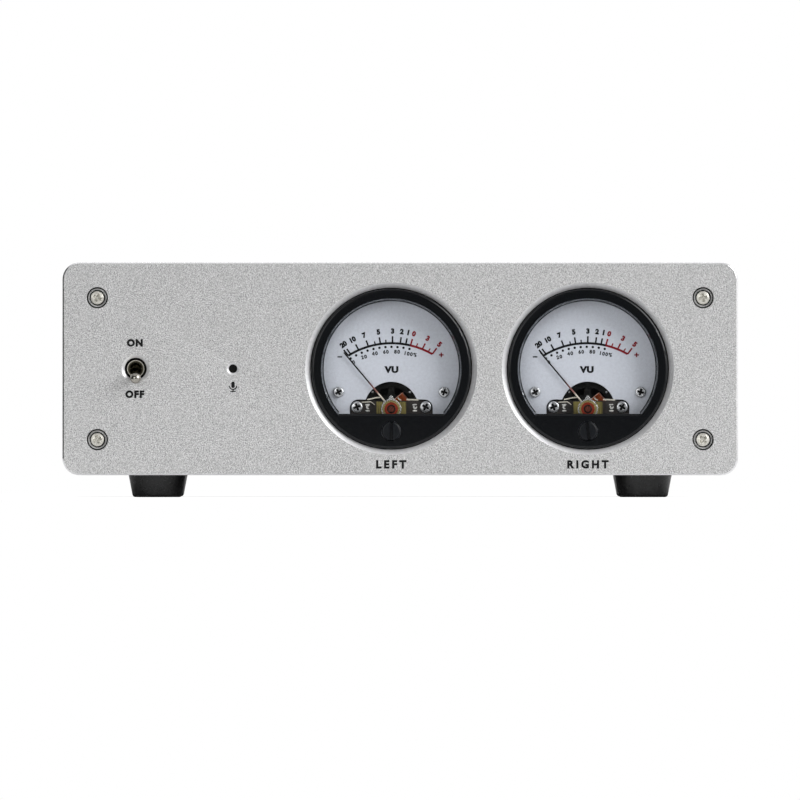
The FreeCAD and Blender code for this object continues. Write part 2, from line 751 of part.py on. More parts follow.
def meter_housing(side, place):
    """Bezel with its mask, lens, can, terminals and dial plate of one meter."""
    set_back, seat = s.bezel_set_back, s.lens_seat
    flange_back = -s.panel_thickness
    edge = 0.9
    bezel = facing_part(f"{side}_bezel", place)
    turned(bezel, [
        (s.window_radius + 0.6, -set_back),
        (s.window_radius, -s.lens_depth),
        (seat, -s.lens_depth),
        (seat, flange_back),
        (s.bezel_radius, flange_back),
        (s.bezel_radius, -set_back - edge, edge),
        (s.bezel_radius - edge, -set_back),
    ])
    mask = sketch(bezel, offset=-s.lens_depth)
    mask_radius, mask_bevel = 25.6, 0.6
    chord_half = math.sqrt(mask_radius ** 2 - s.mask_top.value ** 2)
    outline(mask, [(-chord_half, s.mask_top, mask_radius), (chord_half, s.mask_top)])
    pad(bezel, mask, s.lens_depth - set_back)
    dress(bezel, "Chamfer", mask_bevel, lambda edge: lies_along(edge, Vector(1, 0, 0))
          and abs(edge.BoundBox.YMin - s.mask_top.value) < 1e-6 and edge.BoundBox.ZMin > -set_back.value - 1e-6)
    opening = sketch(bezel, offset=-set_back)
    circle(opening, 0, -s.adjuster_drop, s.adjuster_radius + 0.07)
    pocket(bezel, opening, s.lens_depth)

    lens = facing_part(f"{side}_lens", place)
    pane = sketch(lens, offset=-s.lens_depth)
    circle(pane, 0, 0, seat - 0.05)
    circle(pane, 0, -s.adjuster_drop, STEM + 0.05)
    pad(lens, pane, s.lens_thickness, forward=False)

    can = facing_part(f"{side}_can", place)
    floor = s.can_floor - s.can_depth
    turned(can, [
        (0, -s.can_depth),
        (s.skirt_radius, -s.can_depth),
        (s.skirt_radius, flange_back),
        (s.skirt_radius - s.can_wall, flange_back),
        (s.skirt_radius - s.can_wall, floor),
        (0, floor),
    ])
    dial_pillars = sketch(can, offset=floor)
    for i in (-1, 1):
        circle(dial_pillars, i * s.dial_screw_across, s.dial_screw_up, 2.2)
        circle(dial_pillars, i * s.dial_screw_across, s.dial_screw_up, DIAL_SCREW + 0.02)
    pad(can, dial_pillars, s.can_depth - s.can_floor - s.dial_depth - s.dial_thickness)
    bar_pillars = sketch(can, offset=floor)
    for i in (-1, 1):
        circle(bar_pillars, i * s.bar_screw_across, s.bar_screw_up - s.pivot_drop, 1.7)
        circle(bar_pillars, i * s.bar_screw_across, s.bar_screw_up - s.pivot_drop, BAR_SCREW + 0.02)
    pad(can, bar_pillars, s.can_depth - s.can_floor - s.bar_front - s.bar_thickness)
    bearing = sketch(can, offset=floor)
    circle(bearing, 0, -s.pivot_drop, 1.6)
    circle(bearing, 0, -s.pivot_drop, REAR_PIN + 0.05)
    pad(can, bearing, REAR_BEARING)

    ring = facing_part(f"{side}_clamp_ring", place)
    tube(ring, s.skirt_radius + 2.6, s.skirt_radius, flange_back - s.tray_sheet, 2.5)

    terminals = facing_part(f"{side}_terminals", place - TERMINAL_ACROSS, TERMINAL_UP)
    tube(terminals, s.screw_shank, None, -s.can_depth, 6.0)
    repeat(terminals, "X_Axis", as_size(2 * TERMINAL_ACROSS), 2)

    dial = facing_part(f"{side}_dial_plate", place)
    plate = sketch(dial, offset=-s.dial_depth)
    circle(plate, 0, 0, s.dial_radius)
    for i in (-1, 1):
        circle(plate, i * s.dial_screw_across, s.dial_screw_up, DIAL_SCREW + 0.1)
    pad(dial, plate, s.dial_thickness, forward=False)
    window_half, window_top, window_foot, corner, arch = 14.6, -10.9, -18.0, 2.9, 9.6
    arch_half = math.sqrt(arch ** 2 - (window_top + s.pivot_drop.value) ** 2)
    window = sketch(dial, offset=-s.dial_depth)
    outline(window, [
        (-window_half, window_foot),
        (window_half, window_foot),
        (window_half, window_top - corner, corner),
        (window_half - corner, window_top),
        (arch_half, window_top, arch),
        (-arch_half, window_top),
        (corner - window_half, window_top, corner),
        (-window_half, window_top - corner),
    ])
    pocket(dial, window, s.dial_thickness)


# ---------------------------------------------------------------- meter movement

def movement(side, place):
    """The moving-coil movement of one meter, drawn about its pivot axis."""

    def about_pivot(name, turn=0):
        return facing_part(f"{side}_{name}", place, -s.pivot_drop, turn=turn)

    bridge_back = -s.bridge_front - s.bridge_thickness
    can_floor = s.can_floor - s.can_depth

    yoke = about_pivot("yoke")
    tube(yoke, s.yoke_radius, s.yoke_bore, -s.yoke_front, -can_floor - s.yoke_front)

    core = about_pivot("core")
    gap = 0.6
    core_front = -s.coil_front - s.coil_wire - gap
    core_length = s.coil_back - s.coil_front - 2 * s.coil_wire - 2 * gap
    tube(core, s.core_radius, None, core_front, core_length)
    web_half = 1.2
    web_reach = math.sqrt(s.yoke_bore.value ** 2 - web_half ** 2)
    webs = sketch(core, offset=core_front)
    box(webs, -web_half, web_half, -web_reach, web_reach)
    pad(core, webs, core_length, forward=False)

    bar = about_pivot("bridge_bar")
    half, top, foot, corner = 14.3, 2.9, -3.2, 2.6
    strip = sketch(bar, offset=-s.bar_front)
    outline(strip, [
        (-half, foot), (half, foot), (half, top - corner, corner), (half - corner, top),
        (corner - half, top, corner), (-half, top - corner),
    ])
    circle(strip, 0, 0, 2 * SHAFT)
    for i in (-1, 1):
        circle(strip, i * s.bar_screw_across, s.bar_screw_up, BAR_SCREW + 0.02)
    pad(bar, strip, s.bar_thickness, forward=False)

    bridge = about_pivot("bridge")
    wide, low, high, upright = s.bridge_half_width, -2.2, 2.6, 0.8
    staple = sketch(bridge, "XZ_Plane", -high)
    outline(staple, [
        (-wide, -s.bar_front), (upright - wide, -s.bar_front), (upright - wide, bridge_back),
        (wide - upright, bridge_back), (wide - upright, -s.bar_front), (wide, -s.bar_front),
        (wide, -s.bridge_front), (-wide, -s.bridge_front),
    ])
    pad(bridge, staple, high - low)
    boss_height = 1.0
    boss = sketch(bridge, offset=-s.bridge_front)
    circle(boss, 0, 0, s.boss_radius)
    pad(bridge, boss, boss_height)
    seat = sketch(bridge, offset=boss_height - s.bridge_front)
    circle(seat, 0, 0, JEWEL_SHANK + 0.02)
    pocket(bridge, seat, boss_height + s.bridge_thickness)

    jewel = about_pivot("jewel_screw")
    head_seat = boss_height - s.bridge_front
    tail = bridge_back - 0.2
    turned(jewel, [
        (0, head_seat + 0.8),
        (0, tail + 1.0),
        (FRONT_PIN + 0.07, tail + 1.0),
        (FRONT_PIN + 0.07, tail),
        (JEWEL_SHANK, tail),
        (JEWEL_SHANK, head_seat),
        (2.4, head_seat),
        (2.4, head_seat + 0.5),
        (1.45, head_seat + 0.5),
        (1.45, head_seat + 0.8),
    ])
    groove = sketch(jewel, offset=head_seat + 0.8)
    outline(groove, [(-1.25, -0.95), (-0.95, -1.25), (1.25, 0.95), (0.95, 1.25)])
    pocket(jewel, groove, 0.4)

    lever = about_pivot("zero_lever")
    lever_front = 0.6 - s.bridge_front
    lever_sheet = 0.4
    plate = sketch(lever, offset=lever_front)
    circle(plate, 0, 0, 3.55)
    pad(lever, plate, lever_sheet, forward=False)
    arms = sketch(lever, offset=lever_front)
    outline(arms, [
        (-1.0, -8.0), (-0.45, -8.0), (-0.45, -4.6), (0.45, -4.6), (0.45, -8.0), (1.0, -8.0),
        (1.4, 2.9), (0.3, 4.8), (-0.3, 4.8), (-1.4, 2.9),
    ])
    pad(lever, arms, lever_sheet, forward=False)
    hole = sketch(lever, offset=lever_front)
    circle(hole, 0, 0, s.boss_radius + 0.05)
    pocket(lever, hole, lever_sheet)
    tab = sketch(lever, offset=lever_front)
    box(tab, -0.35, 0.35, SPRING_OUTER + SPRING_STRIP / 2, SPRING_OUTER + 0.45)
    pad(lever, tab, lever_front + SPRING_DEPTH + SPRING_HEIGHT, forward=False)

    pointer = about_pivot("pointer", s.pointer_rest)
    blade = sketch(pointer, offset=-s.pointer_depth)
    outline(blade, [
        (-0.3, -5.0), (0.3, -5.0), (0.3, 0), (0.17, s.pointer_reach), (-0.17, s.pointer_reach), (-0.3, 0),
    ])
    pad(pointer, blade, POINTER_SHEET, forward=False)
    weight = sketch(pointer, offset=0.2 - s.pointer_depth)
    circle(weight, 0, -BALANCE_DROP, BALANCE_RADIUS)
    pad(pointer, weight, 1.0, forward=False)
    hub = sketch(pointer, offset=-s.pointer_depth)
    circle(hub, 0, 0, 1.2)
    pad(pointer, hub, 0.6, forward=False)
    hole = sketch(pointer, offset=-s.pointer_depth)
    circle(hole, 0, 0, SHAFT)
    pocket(pointer, hole, 0.6)

    coil = about_pivot("moving_coil", s.pointer_rest)
    reach, wire = s.coil_reach, s.coil_wire
    loop = sketch(coil, "XZ_Plane")
    box(loop, -reach, reach, -s.coil_back, -s.coil_front)
    box(loop, wire - reach, reach - wire, wire - s.coil_back, -s.coil_front - wire)
    pad(coil, loop, 2 * s.coil_half_width, both=True)
    pin_step = bridge_back - 0.35
    pin_length = 0.95
    turned(coil, [
        (0, -s.coil_front - wire / 2),
        (SHAFT, -s.coil_front - wire / 2),
        (SHAFT, pin_step),
        (FRONT_PIN, pin_step),
        (FRONT_PIN, pin_step + pin_length),
        (0, pin_step + pin_length),
    ])
    tube(coil, REAR_PIN, None, wire / 2 - s.coil_back, s.can_depth - s.can_floor - 0.4 + wire / 2 - s.coil_back)

    adjuster = facing_part(f"{side}_zero_screw", place, -s.adjuster_drop)
    face = 0.3 - s.bezel_set_back
    lens_back = -s.lens_depth - s.lens_thickness
    flange = 0.5
    turned(adjuster, [
        (0, face),
        (0, lens_back - 0.1 - flange),
        (STEM + 0.6, lens_back - 0.1 - flange),
        (STEM + 0.6, lens_back - 0.1),
        (STEM, lens_back - 0.1),
        (STEM, -s.lens_depth),
        (s.adjuster_radius, -s.lens_depth),
        (s.adjuster_radius, face),
    ])
    groove = sketch(adjuster, offset=face)
    box(groove, -0.5, 0.5, -3.6, 3.6)
    pocket(adjuster, groove, 0.9)
    crank_top = lens_back - 0.1 - flange
    crank = sketch(adjuster, offset=crank_top)
    circle(crank, 0, s.eccentric, 0.35)
    pad(adjuster, crank, crank_top - lever_front + lever_sheet + 0.1, forward=False)


def hairspring(side, place):
    """A flat spiral spring of half circles, from close to the shaft out to the zero lever's tab.

    Each half circle starts where the last one ends, and its radius grows by the same step.
    """
    half_turns = 3
    inner = SHAFT + 0.25
    step = (SPRING_OUTER - inner) / half_turns
    pieces = []
    start, way = -inner, 1
    for number in range(half_turns):
        radius = inner + (number + 0.5) * step
        centre = start + way * radius
        rims = []
        for size in (radius - SPRING_STRIP / 2, radius + SPRING_STRIP / 2):
            ends = [Vector(0, centre - way * size, 0), Vector(0, centre + way * size, 0)]
            rims.append((ends, Part.Arc(ends[0], Vector(way * size, centre, 0), ends[1]).toShape()))
        joins = [Part.makeLine(rims[0][0][n], rims[1][0][n]) for n in (0, 1)]
        wire = Part.Wire([rims[0][1], joins[1], rims[1][1], joins[0]])
        pieces.append(Part.Face(wire).extrude(Vector(0, 0, -SPRING_HEIGHT)))
        start += way * 2 * radius
        way = -way
    feature = doc.addObject("Part::Feature", f"{side}_hairspring")
    feature.Label = f"{side}_hairspring"
    feature.Shape = pieces[0].fuse(pieces[1:]).removeSplitter()
    feature.Placement = Placement(Vector(), Rotation(Vector(1, 0, 0), 90))
    bind(feature, "Placement.Base.x", place)
    bind(feature, "Placement.Base.y", s.front_face + SPRING_DEPTH)
    bind(feature, "Placement.Base.z", PANEL_CENTRE - s.pivot_drop)
    nodes.append(feature)


def meter_screws():
    """Two screws hold each dial plate and two hold each bridge bar, all into the can's pillars."""
    middle = s.right_meter - s.left_meter
    dial = facing_part("dial_screws", s.left_meter - s.dial_screw_across, s.dial_screw_up)
    pan_screw(dial, -s.dial_depth, 1.9, DIAL_SCREW, 1.1, 4.0)
    repeat(dial, "X_Axis", 2 * s.dial_screw_across, 2, "X_Axis", middle, 2)
    bar = facing_part("bridge_screws", s.left_meter - s.bar_screw_across, s.bar_screw_up - s.pivot_drop)
    pan_screw(bar, -s.bar_front, 2.05, BAR_SCREW, 1.1, 4.0)
    repeat(bar, "X_Axis", 2 * s.bar_screw_across, 2, "X_Axis", middle, 2)


# ---------------------------------------------------------------- the whole object

front_panel()
panel_fasteners()
chassis_tray()
top_cover()
cover_screws()
feet()
toggle_switch()
microphone()
circuit_board()
rear_sockets()
for side, place in (("left", s.left_meter), ("right", s.right_meter)):
    meter_housing(side, place)
    movement(side, place)
    hairspring(side, place)
meter_screws()

doc.recompute()

CUTTING = ("PartDesign::Pocket", "PartDesign::Hole")
for item in doc.Objects:
    owner = item.getParentGeoFeatureGroup()
    where = f"{item.Label} of {owner.Label}" if owner else item.Label
    if "Invalid" in item.State or "Error" in item.State:
        raise RuntimeError(f"{where} failed")
    if item.TypeId in CUTTING and item.Shape.Volume > item.BaseFeature.Shape.Volume - 1e-4:
        raise RuntimeError(f"{where} cuts nothing")

os.makedirs("parts", exist_ok=True)
for node in nodes:
    if node.Shape.isNull() or not node.Shape.isValid() or not node.Shape.Solids:
        raise RuntimeError(f"{node.Label} has no sound solid")
    node.Shape.exportStep(f"parts/{node.Label}.step")
print(len(nodes), "pieces written")
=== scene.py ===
import json
import math

import bmesh
import bpy
import numpy as np
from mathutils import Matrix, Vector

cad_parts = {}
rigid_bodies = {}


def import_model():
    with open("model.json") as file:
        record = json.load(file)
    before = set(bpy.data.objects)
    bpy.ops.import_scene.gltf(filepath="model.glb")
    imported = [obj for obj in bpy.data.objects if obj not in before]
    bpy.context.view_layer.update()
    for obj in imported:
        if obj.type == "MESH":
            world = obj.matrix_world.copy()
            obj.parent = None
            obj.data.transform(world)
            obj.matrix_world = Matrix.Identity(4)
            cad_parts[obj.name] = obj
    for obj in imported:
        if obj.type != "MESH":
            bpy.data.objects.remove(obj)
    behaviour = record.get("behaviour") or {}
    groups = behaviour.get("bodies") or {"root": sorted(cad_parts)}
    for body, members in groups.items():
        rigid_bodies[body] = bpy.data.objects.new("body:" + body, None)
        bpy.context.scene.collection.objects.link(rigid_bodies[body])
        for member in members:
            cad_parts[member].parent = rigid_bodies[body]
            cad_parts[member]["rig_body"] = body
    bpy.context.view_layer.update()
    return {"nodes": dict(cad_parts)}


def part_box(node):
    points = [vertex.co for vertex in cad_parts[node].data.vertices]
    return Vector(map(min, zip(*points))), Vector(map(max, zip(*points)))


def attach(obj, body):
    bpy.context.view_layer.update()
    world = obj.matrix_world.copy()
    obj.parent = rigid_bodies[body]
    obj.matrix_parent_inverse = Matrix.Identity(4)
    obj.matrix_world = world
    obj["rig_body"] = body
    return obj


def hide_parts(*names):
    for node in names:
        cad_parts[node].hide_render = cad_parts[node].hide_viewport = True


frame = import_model()
nodes = frame["nodes"]

MM = 0.001


# ---- Studio -------------------------------------------------------------------------------
# A pale floor that runs on past the view, a large soft lamp up to the right of the camera, a
# weaker one to the left, and a long lens straight in front, as for a catalogue picture.

panel_low, panel_high = (np.array(corner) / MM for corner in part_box("front_panel"))
FRONT = panel_low[1]
CENTRE = (panel_low[2] + panel_high[2]) / 2

PIXEL = 0.3523          # millimetres of the panel's face to one picture element
PANEL_PIXEL = (400.2, 368.7)    # where the middle of the panel's face comes, from the picture's top left
DISTANCE = 12000.0      # millimetres from the camera to the panel's face
SENSOR = 36.0           # millimetres across the camera's sensor
FRAME = 800             # picture elements across the picture
SOFT_LIGHT = 0.47       # the studio's even light, where plain white in the picture is 1
DARK_ROOM = 0.06        # what gloss sees of the room's unlit side


def linear(hex_colour):
    """Turns sRGB hex into linear RGBA: c / 12.92 below 0.04045, else ((c + 0.055) / 1.055) ** 2.4."""
    parts = [int(hex_colour[i:i + 2], 16) / 255 for i in (1, 3, 5)]
    return [c / 12.92 if c <= 0.04045 else ((c + 0.055) / 1.055) ** 2.4 for c in parts] + [1.0]


def add(tree, kind, settings=None, inputs=None):
    """Adds one node, sets its settings, and sets or links each of its inputs."""
    node = tree.nodes.new(kind)
    for name, value in (settings or {}).items():
        setattr(node, name, value)
    for name, value in (inputs or {}).items():
        if isinstance(value, bpy.types.NodeSocket):
            tree.links.new(value, node.inputs[name])
        else:
            node.inputs[name].default_value = value
    return node


def by_path(tree, even, mirrored):
    """A strength that is 1 straight ahead or through glass, another in a mirror, and even as a light."""
    path = add(tree, "ShaderNodeLightPath")
    straight = add(tree, "ShaderNodeMath", {"operation": "MAXIMUM"},
                   {0: path.outputs["Is Camera Ray"], 1: path.outputs["Is Transmission Ray"]})
    indirect = add(tree, "ShaderNodeMix", inputs={0: path.outputs["Is Glossy Ray"], 2: even, 3: mirrored})
    seen = add(tree, "ShaderNodeMix", inputs={0: straight.outputs[0], 2: indirect.outputs[0], 3: 1.0})
    return seen.outputs[0]


world = bpy.data.worlds.new("studio")
world.use_nodes = True
room = world.node_tree
room.nodes.clear()
direction = add(room, "ShaderNodeTexCoord").outputs["Generated"]
toward = add(room, "ShaderNodeSeparateXYZ", inputs={"Vector": direction})
# Gloss sees white walls behind, on the right and overhead, and the darker room in front and on the left.
right_wall, rear_wall, ceiling = (
    add(room, "ShaderNodeMapRange", {"interpolation_type": "SMOOTHSTEP"}, {
        "Value": toward.outputs[axis], "From Min": start, "From Max": end,
        "To Min": DARK_ROOM, "To Max": white}).outputs[0]
    for axis, start, end, white in (("X", 0.0, 0.6, 1.0), ("Y", 0.0, 0.5, 1.0), ("Z", 0.6, 0.95, 0.8)))
walls = add(room, "ShaderNodeMath", {"operation": "MAXIMUM"}, {0: right_wall, 1: rear_wall})
mirrored = add(room, "ShaderNodeMath", {"operation": "MAXIMUM"}, {0: walls.outputs[0], 1: ceiling})
room_strength = by_path(room, SOFT_LIGHT, mirrored.outputs[0])
sky = add(room, "ShaderNodeBackground", inputs={"Color": linear("#ffffff"), "Strength": room_strength})
add(room, "ShaderNodeOutputWorld", inputs={"Surface": sky.outputs[0]})
bpy.context.scene.world = world

# The camera sees the paper as its lit tone, about half of white, blended with a glow. This glow and
# its share add up to just white on bare paper, and still let a shadow show.
PAPER_GLOW, GLOW_SHARE = 1.21, 0.7
PAPER_ENDS = (0.16, 0.42)       # metres from the middle between which the paper turns to plain white

floor_paper = bpy.data.materials.new("matte_white_paper_roll")
floor_paper.use_nodes = True
roll = floor_paper.node_tree
roll.nodes.clear()
on_paper = add(roll, "ShaderNodeTexCoord").outputs["Object"]
paper_grain = add(roll, "ShaderNodeTexNoise", inputs={"Vector": on_paper, "Scale": 400.0})
paper_tone = add(roll, "ShaderNodeMix", {"data_type": "RGBA"}, {
    0: paper_grain.outputs["Fac"], 6: linear("#ececec"), 7: linear("#f2f2f2")})
paper = add(roll, "ShaderNodeBsdfDiffuse", inputs={"Color": paper_tone.outputs[2]})
bright = add(roll, "ShaderNodeEmission", inputs={"Strength": PAPER_GLOW})
glow_share = add(roll, "ShaderNodeMath", {"operation": "MULTIPLY"}, {
    0: add(roll, "ShaderNodeLightPath").outputs["Is Camera Ray"], 1: GLOW_SHARE})
lit_paper = add(roll, "ShaderNodeMixShader", inputs={
    0: glow_share.outputs[0], 1: paper.outputs[0], 2: bright.outputs[0]})
flat_place = add(roll, "ShaderNodeMapping", inputs={"Vector": on_paper, "Scale": (1, 1, 0)})
from_middle = add(roll, "ShaderNodeVectorMath", {"operation": "LENGTH"}, {0: flat_place.outputs[0]})
runs_out = add(roll, "ShaderNodeMapRange", {"interpolation_type": "SMOOTHSTEP"}, {
    "Value": from_middle.outputs["Value"], "From Min": PAPER_ENDS[0], "From Max": PAPER_ENDS[1]})
sideways = add(roll, "ShaderNodeSeparateXYZ", inputs={"Vector": flat_place.outputs[0]})
mirrored_floor = add(roll, "ShaderNodeMapRange", {"interpolation_type": "SMOOTHSTEP"}, {
    "Value": sideways.outputs["X"], "From Min": 0.1, "From Max": 0.7, "To Min": DARK_ROOM})
plain_white = add(roll, "ShaderNodeEmission", inputs={
    "Strength": by_path(roll, SOFT_LIGHT, mirrored_floor.outputs[0])})
sweep = add(roll, "ShaderNodeMixShader", inputs={
    0: runs_out.outputs[0], 1: lit_paper.outputs[0], 2: plain_white.outputs[0]})
add(roll, "ShaderNodeOutputMaterial", inputs={"Surface": sweep.outputs[0]})

REACH = 12.0        # metres from the middle to each side of the floor
floor_mesh = bpy.data.meshes.new("floor")
floor_mesh.from_pydata([(-REACH, -REACH, 0), (REACH, -REACH, 0), (REACH, REACH, 0), (-REACH, REACH, 0)],
                       [], [(0, 1, 2, 3)])
floor_mesh.materials.append(floor_paper)
floor = bpy.data.objects.new("floor", floor_mesh)
bpy.context.scene.collection.objects.link(floor)


def lamp(name, place, size, power):
    """A square area lamp at a place in metres, turned to look at the middle of the front panel."""
    light = bpy.data.lights.new(name, "AREA")
    light.size = size
    light.energy = power
    holder = bpy.data.objects.new(name, light)
    bpy.context.scene.collection.objects.link(holder)
    holder.location = place
    aim = np.array([0, FRONT * MM, CENTRE * MM]) - np.array(place)
    holder.rotation_euler = (math.acos(-aim[2] / np.linalg.norm(aim)), 0, math.atan2(-aim[0], aim[1]))


lamp("key_lamp", (1.4, -0.9, 0.9), 1.3, 34.5)
lamp("fill_lamp", (-0.9, -1.9, 0.3), 1.2, 12.0)
lamp("top_lamp", (0.0, 1.2, 1.5), 1.2, 9.0)

camera_data = bpy.data.cameras.new("camera")
camera_data.sensor_width = SENSOR
camera_data.lens = SENSOR * DISTANCE / (FRAME * PIXEL)
camera_data.clip_end = 50.0
camera = bpy.data.objects.new("camera", camera_data)
bpy.context.scene.collection.objects.link(camera)
camera.location = ((FRAME / 2 - PANEL_PIXEL[0]) * PIXEL * MM, (FRONT - DISTANCE) * MM,
                   (CENTRE - (FRAME / 2 - PANEL_PIXEL[1]) * PIXEL) * MM)
camera.rotation_euler = (math.pi / 2, 0, 0)
bpy.context.scene.camera = camera
bpy.context.scene.view_settings.view_transform = "Standard"


# ---- Front panel --------------------------------------------------------------------------
# One plate of 6 mm aluminium, milled, bead-blasted and clear anodised: a pale grey metal with a
# fine sparkling grain and a soft edge that catches the light. Screws hold it to the case.

def start_material(name, metallic, roughness, settings=None):
    """A new material with one Principled shader, and the object's own coordinates to work from."""
    material = bpy.data.materials.new(name)
    material.use_nodes = True
    tree = material.node_tree
    tree.nodes.clear()
    skin = add(tree, "ShaderNodeBsdfPrincipled", inputs={
        "Metallic": metallic, "Roughness": roughness, **(settings or {})})
    add(tree, "ShaderNodeOutputMaterial", inputs={"Surface": skin.outputs[0]})
    return material, tree, skin, add(tree, "ShaderNodeTexCoord").outputs["Object"]


def grained(name, dark, light, grain, metallic, roughness, bump=0.0, spread=0.0, stretch=(1, 1, 1),
            **settings):
    """A finish whose colour, gloss and surface vary with a noise of one grain size in millimetres.

    The colour goes from dark to light, the roughness by spread either way, and the bump is the
    grain's depth in millimetres. stretch draws the grain out along an axis, as rolling does.
    """
    material, tree, skin, place = start_material(name, metallic, roughness, settings)
    scaled = add(tree, "ShaderNodeMapping", inputs={"Vector": place, "Scale": stretch})
    noise = add(tree, "ShaderNodeTexNoise", inputs={
        "Vector": scaled.outputs[0], "Scale": 1 / (grain * MM), "Detail": 3.0, "Roughness": 0.6})
    levels = add(tree, "ShaderNodeMapRange", {}, {
        "Value": noise.outputs["Fac"], "From Min": 0.3, "From Max": 0.7})
    tone = add(tree, "ShaderNodeMix", {"data_type": "RGBA"}, {
        0: levels.outputs[0], 6: linear(dark), 7: linear(light)})
    tree.links.new(tone.outputs[2], skin.inputs["Base Color"])
    if spread:
        gloss = add(tree, "ShaderNodeMapRange", {}, {
            "Value": levels.outputs[0], "To Min": roughness + spread, "To Max": roughness - spread})
        tree.links.new(gloss.outputs[0], skin.inputs["Roughness"])
    if bump:
        relief = add(tree, "ShaderNodeBump", inputs={
            "Height": levels.outputs[0], "Distance": bump * MM, "Strength": 1.0})
        tree.links.new(relief.outputs[0], skin.inputs["Normal"])
    return material


def finish(piece, material):
    """Gives a piece or a carried-over node one material."""
    piece.data.materials.clear()
    piece.data.materials.append(material)


def settle(piece, body, replaced=()):
    """Makes a finished piece ride on its body and the nodes that it stands for."""
    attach(piece, body)
    if replaced:
        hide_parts(*replaced)
    return piece


def add_piece(name, points, faces, material, body, slot, replaced=(), crease=35.0):
    """A closed mesh from points in millimetres, smooth but for edges sharper than the crease."""
    mesh = bpy.data.meshes.new(name)
    mesh.from_pydata((np.asarray(points) * MM).tolist(), [], faces)
    shape = bmesh.new()
    shape.from_mesh(mesh)
    bmesh.ops.remove_doubles(shape, verts=shape.verts, dist=1e-7)
    bmesh.ops.recalc_face_normals(shape, faces=shape.faces)
    shape.to_mesh(mesh)
    shape.free()
    mesh.polygons.foreach_set("use_smooth", [True] * len(mesh.polygons))
    mesh.set_sharp_from_angle(angle=math.radians(crease))
    piece = bpy.data.objects.new(name, mesh)
    bpy.context.scene.collection.objects.link(piece)
    finish(piece, material)
    return settle(piece, body, replaced)


def softened(node, name, width, material, segments=2, angle=25.0, merged=True):
    """A copy of a node's solid whose edges are eased by a bevel of that width in millimetres.

    Flat faces are merged first, or kept as they are and only shaded evenly.
    """
    source = nodes[node]
    mesh = source.data.copy()
    mesh.name = name
    shape = bmesh.new()
    shape.from_mesh(mesh)
    bmesh.ops.remove_doubles(shape, verts=shape.verts, dist=2e-6)
    if merged:
        bmesh.ops.dissolve_limit(shape, angle_limit=math.radians(0.5), verts=shape.verts, edges=shape.edges)
    shape.to_mesh(mesh)
    shape.free()
    mesh.polygons.foreach_set("use_smooth", [True] * len(mesh.polygons))
    mesh.set_sharp_from_angle(angle=math.radians(angle))
    piece = bpy.data.objects.new(name, mesh)
    bpy.context.scene.collection.objects.link(piece)
    easing = piece.modifiers.new("eased_edges", "BEVEL")
    easing.width = width * MM
    easing.segments = segments
    easing.limit_method = "ANGLE"
    easing.angle_limit = math.radians(angle)
    easing.harden_normals = merged
    if not merged:
        evened = piece.modifiers.new("even_shading", "WEIGHTED_NORMAL")
        evened.keep_sharp = True
        evened.weight = 100
    finish(piece, material)
    return settle(piece, source["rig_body"], [node])


def refinish(piece, material, picks):
    """Gives one more material to the faces for which picks(normals, middles in millimetres) is true."""
    count = len(piece.data.polygons)
    normals, middles = np.zeros(count * 3), np.zeros(count * 3)
    piece.data.polygons.foreach_get("normal", normals)
    piece.data.polygons.foreach_get("center", middles)
    before = np.zeros(count, np.int32)
    piece.data.polygons.foreach_get("material_index", before)
    piece.data.materials.append(material)
    picked = picks(normals.reshape(-1, 3), middles.reshape(-1, 3) / MM)
    piece.data.polygons.foreach_set(
        "material_index", np.where(picked, len(piece.data.materials) - 1, before).astype(np.int32))


SCREW_ACROSS, SCREW_UP = 106.7, 25.0
OUTER_ACROSS, OUTER_UP = 112, 34    # past these from the middle, a chamfer is the plate's own edge
BORE_REACH, BORE_START = 4, 0.4     # so near to a screw and so far behind the face, it is a counterbore


def chamfers(normals):
    """Which faces are 45-degree chamfers that look forward."""
    return np.abs(normals[:, 1] + 0.707) < 0.05


def off_axis(middles, across, up):
    """Distance in millimetres from the nearest of four axes, at +-across and +-up from the middle."""
    return np.hypot(np.abs(middles[:, 0]) - across, np.abs(middles[:, 2] - CENTRE) - up)


# Real bead blasting is finer than this grain, which is drawn coarser so that it shows at all.
blasted = grained("bead_blasted_clear_anodised_aluminium", "#707071", "#e5e5e5", 0.36, 0.4, 0.5,
                  bump=0.03, spread=0.08)
cut_edge = grained("diamond_cut_edge", "#e9e9eb", "#f5f5f6", 1.2, 1.0, 0.18, spread=0.04)
countersunk = grained("countersunk_aluminium", "#d2d2d4", "#e3e3e5", 1.2, 0.55, 0.36, spread=0.05)
# Painted shade: near black for the floors of the counterbores, which lie in shade.
painted_bore_shade = grained("aluminium_with_painted_bore_shade", "#060606", "#0f0f0f", 0.4, 0.0, 0.7, bump=0.01)
panel = softened("front_panel", "panel_plate", 0.1, blasted)
refinish(panel, countersunk, lambda normals, middles: chamfers(normals))
refinish(panel, cut_edge, lambda normals, middles: chamfers(normals) & (
    (np.abs(middles[:, 0]) > OUTER_ACROSS) | (np.abs(middles[:, 2] - CENTRE) > OUTER_UP)))
# The counterbores' floors get the painted shade.
refinish(panel, painted_bore_shade, lambda normals, middles: (off_axis(middles, SCREW_ACROSS, SCREW_UP) < BORE_REACH) & (
    middles[:, 1] > FRONT + BORE_START) & (np.abs(normals[:, 1]) > 0.9))


# ---- Screws and washers in the panel ------------------------------------------------------
# Four stainless pan-head machine screws with cross recesses on flat washers, sunk in the
# counterbores. The heads are upset and the recess is punched, so every edge is a little round.

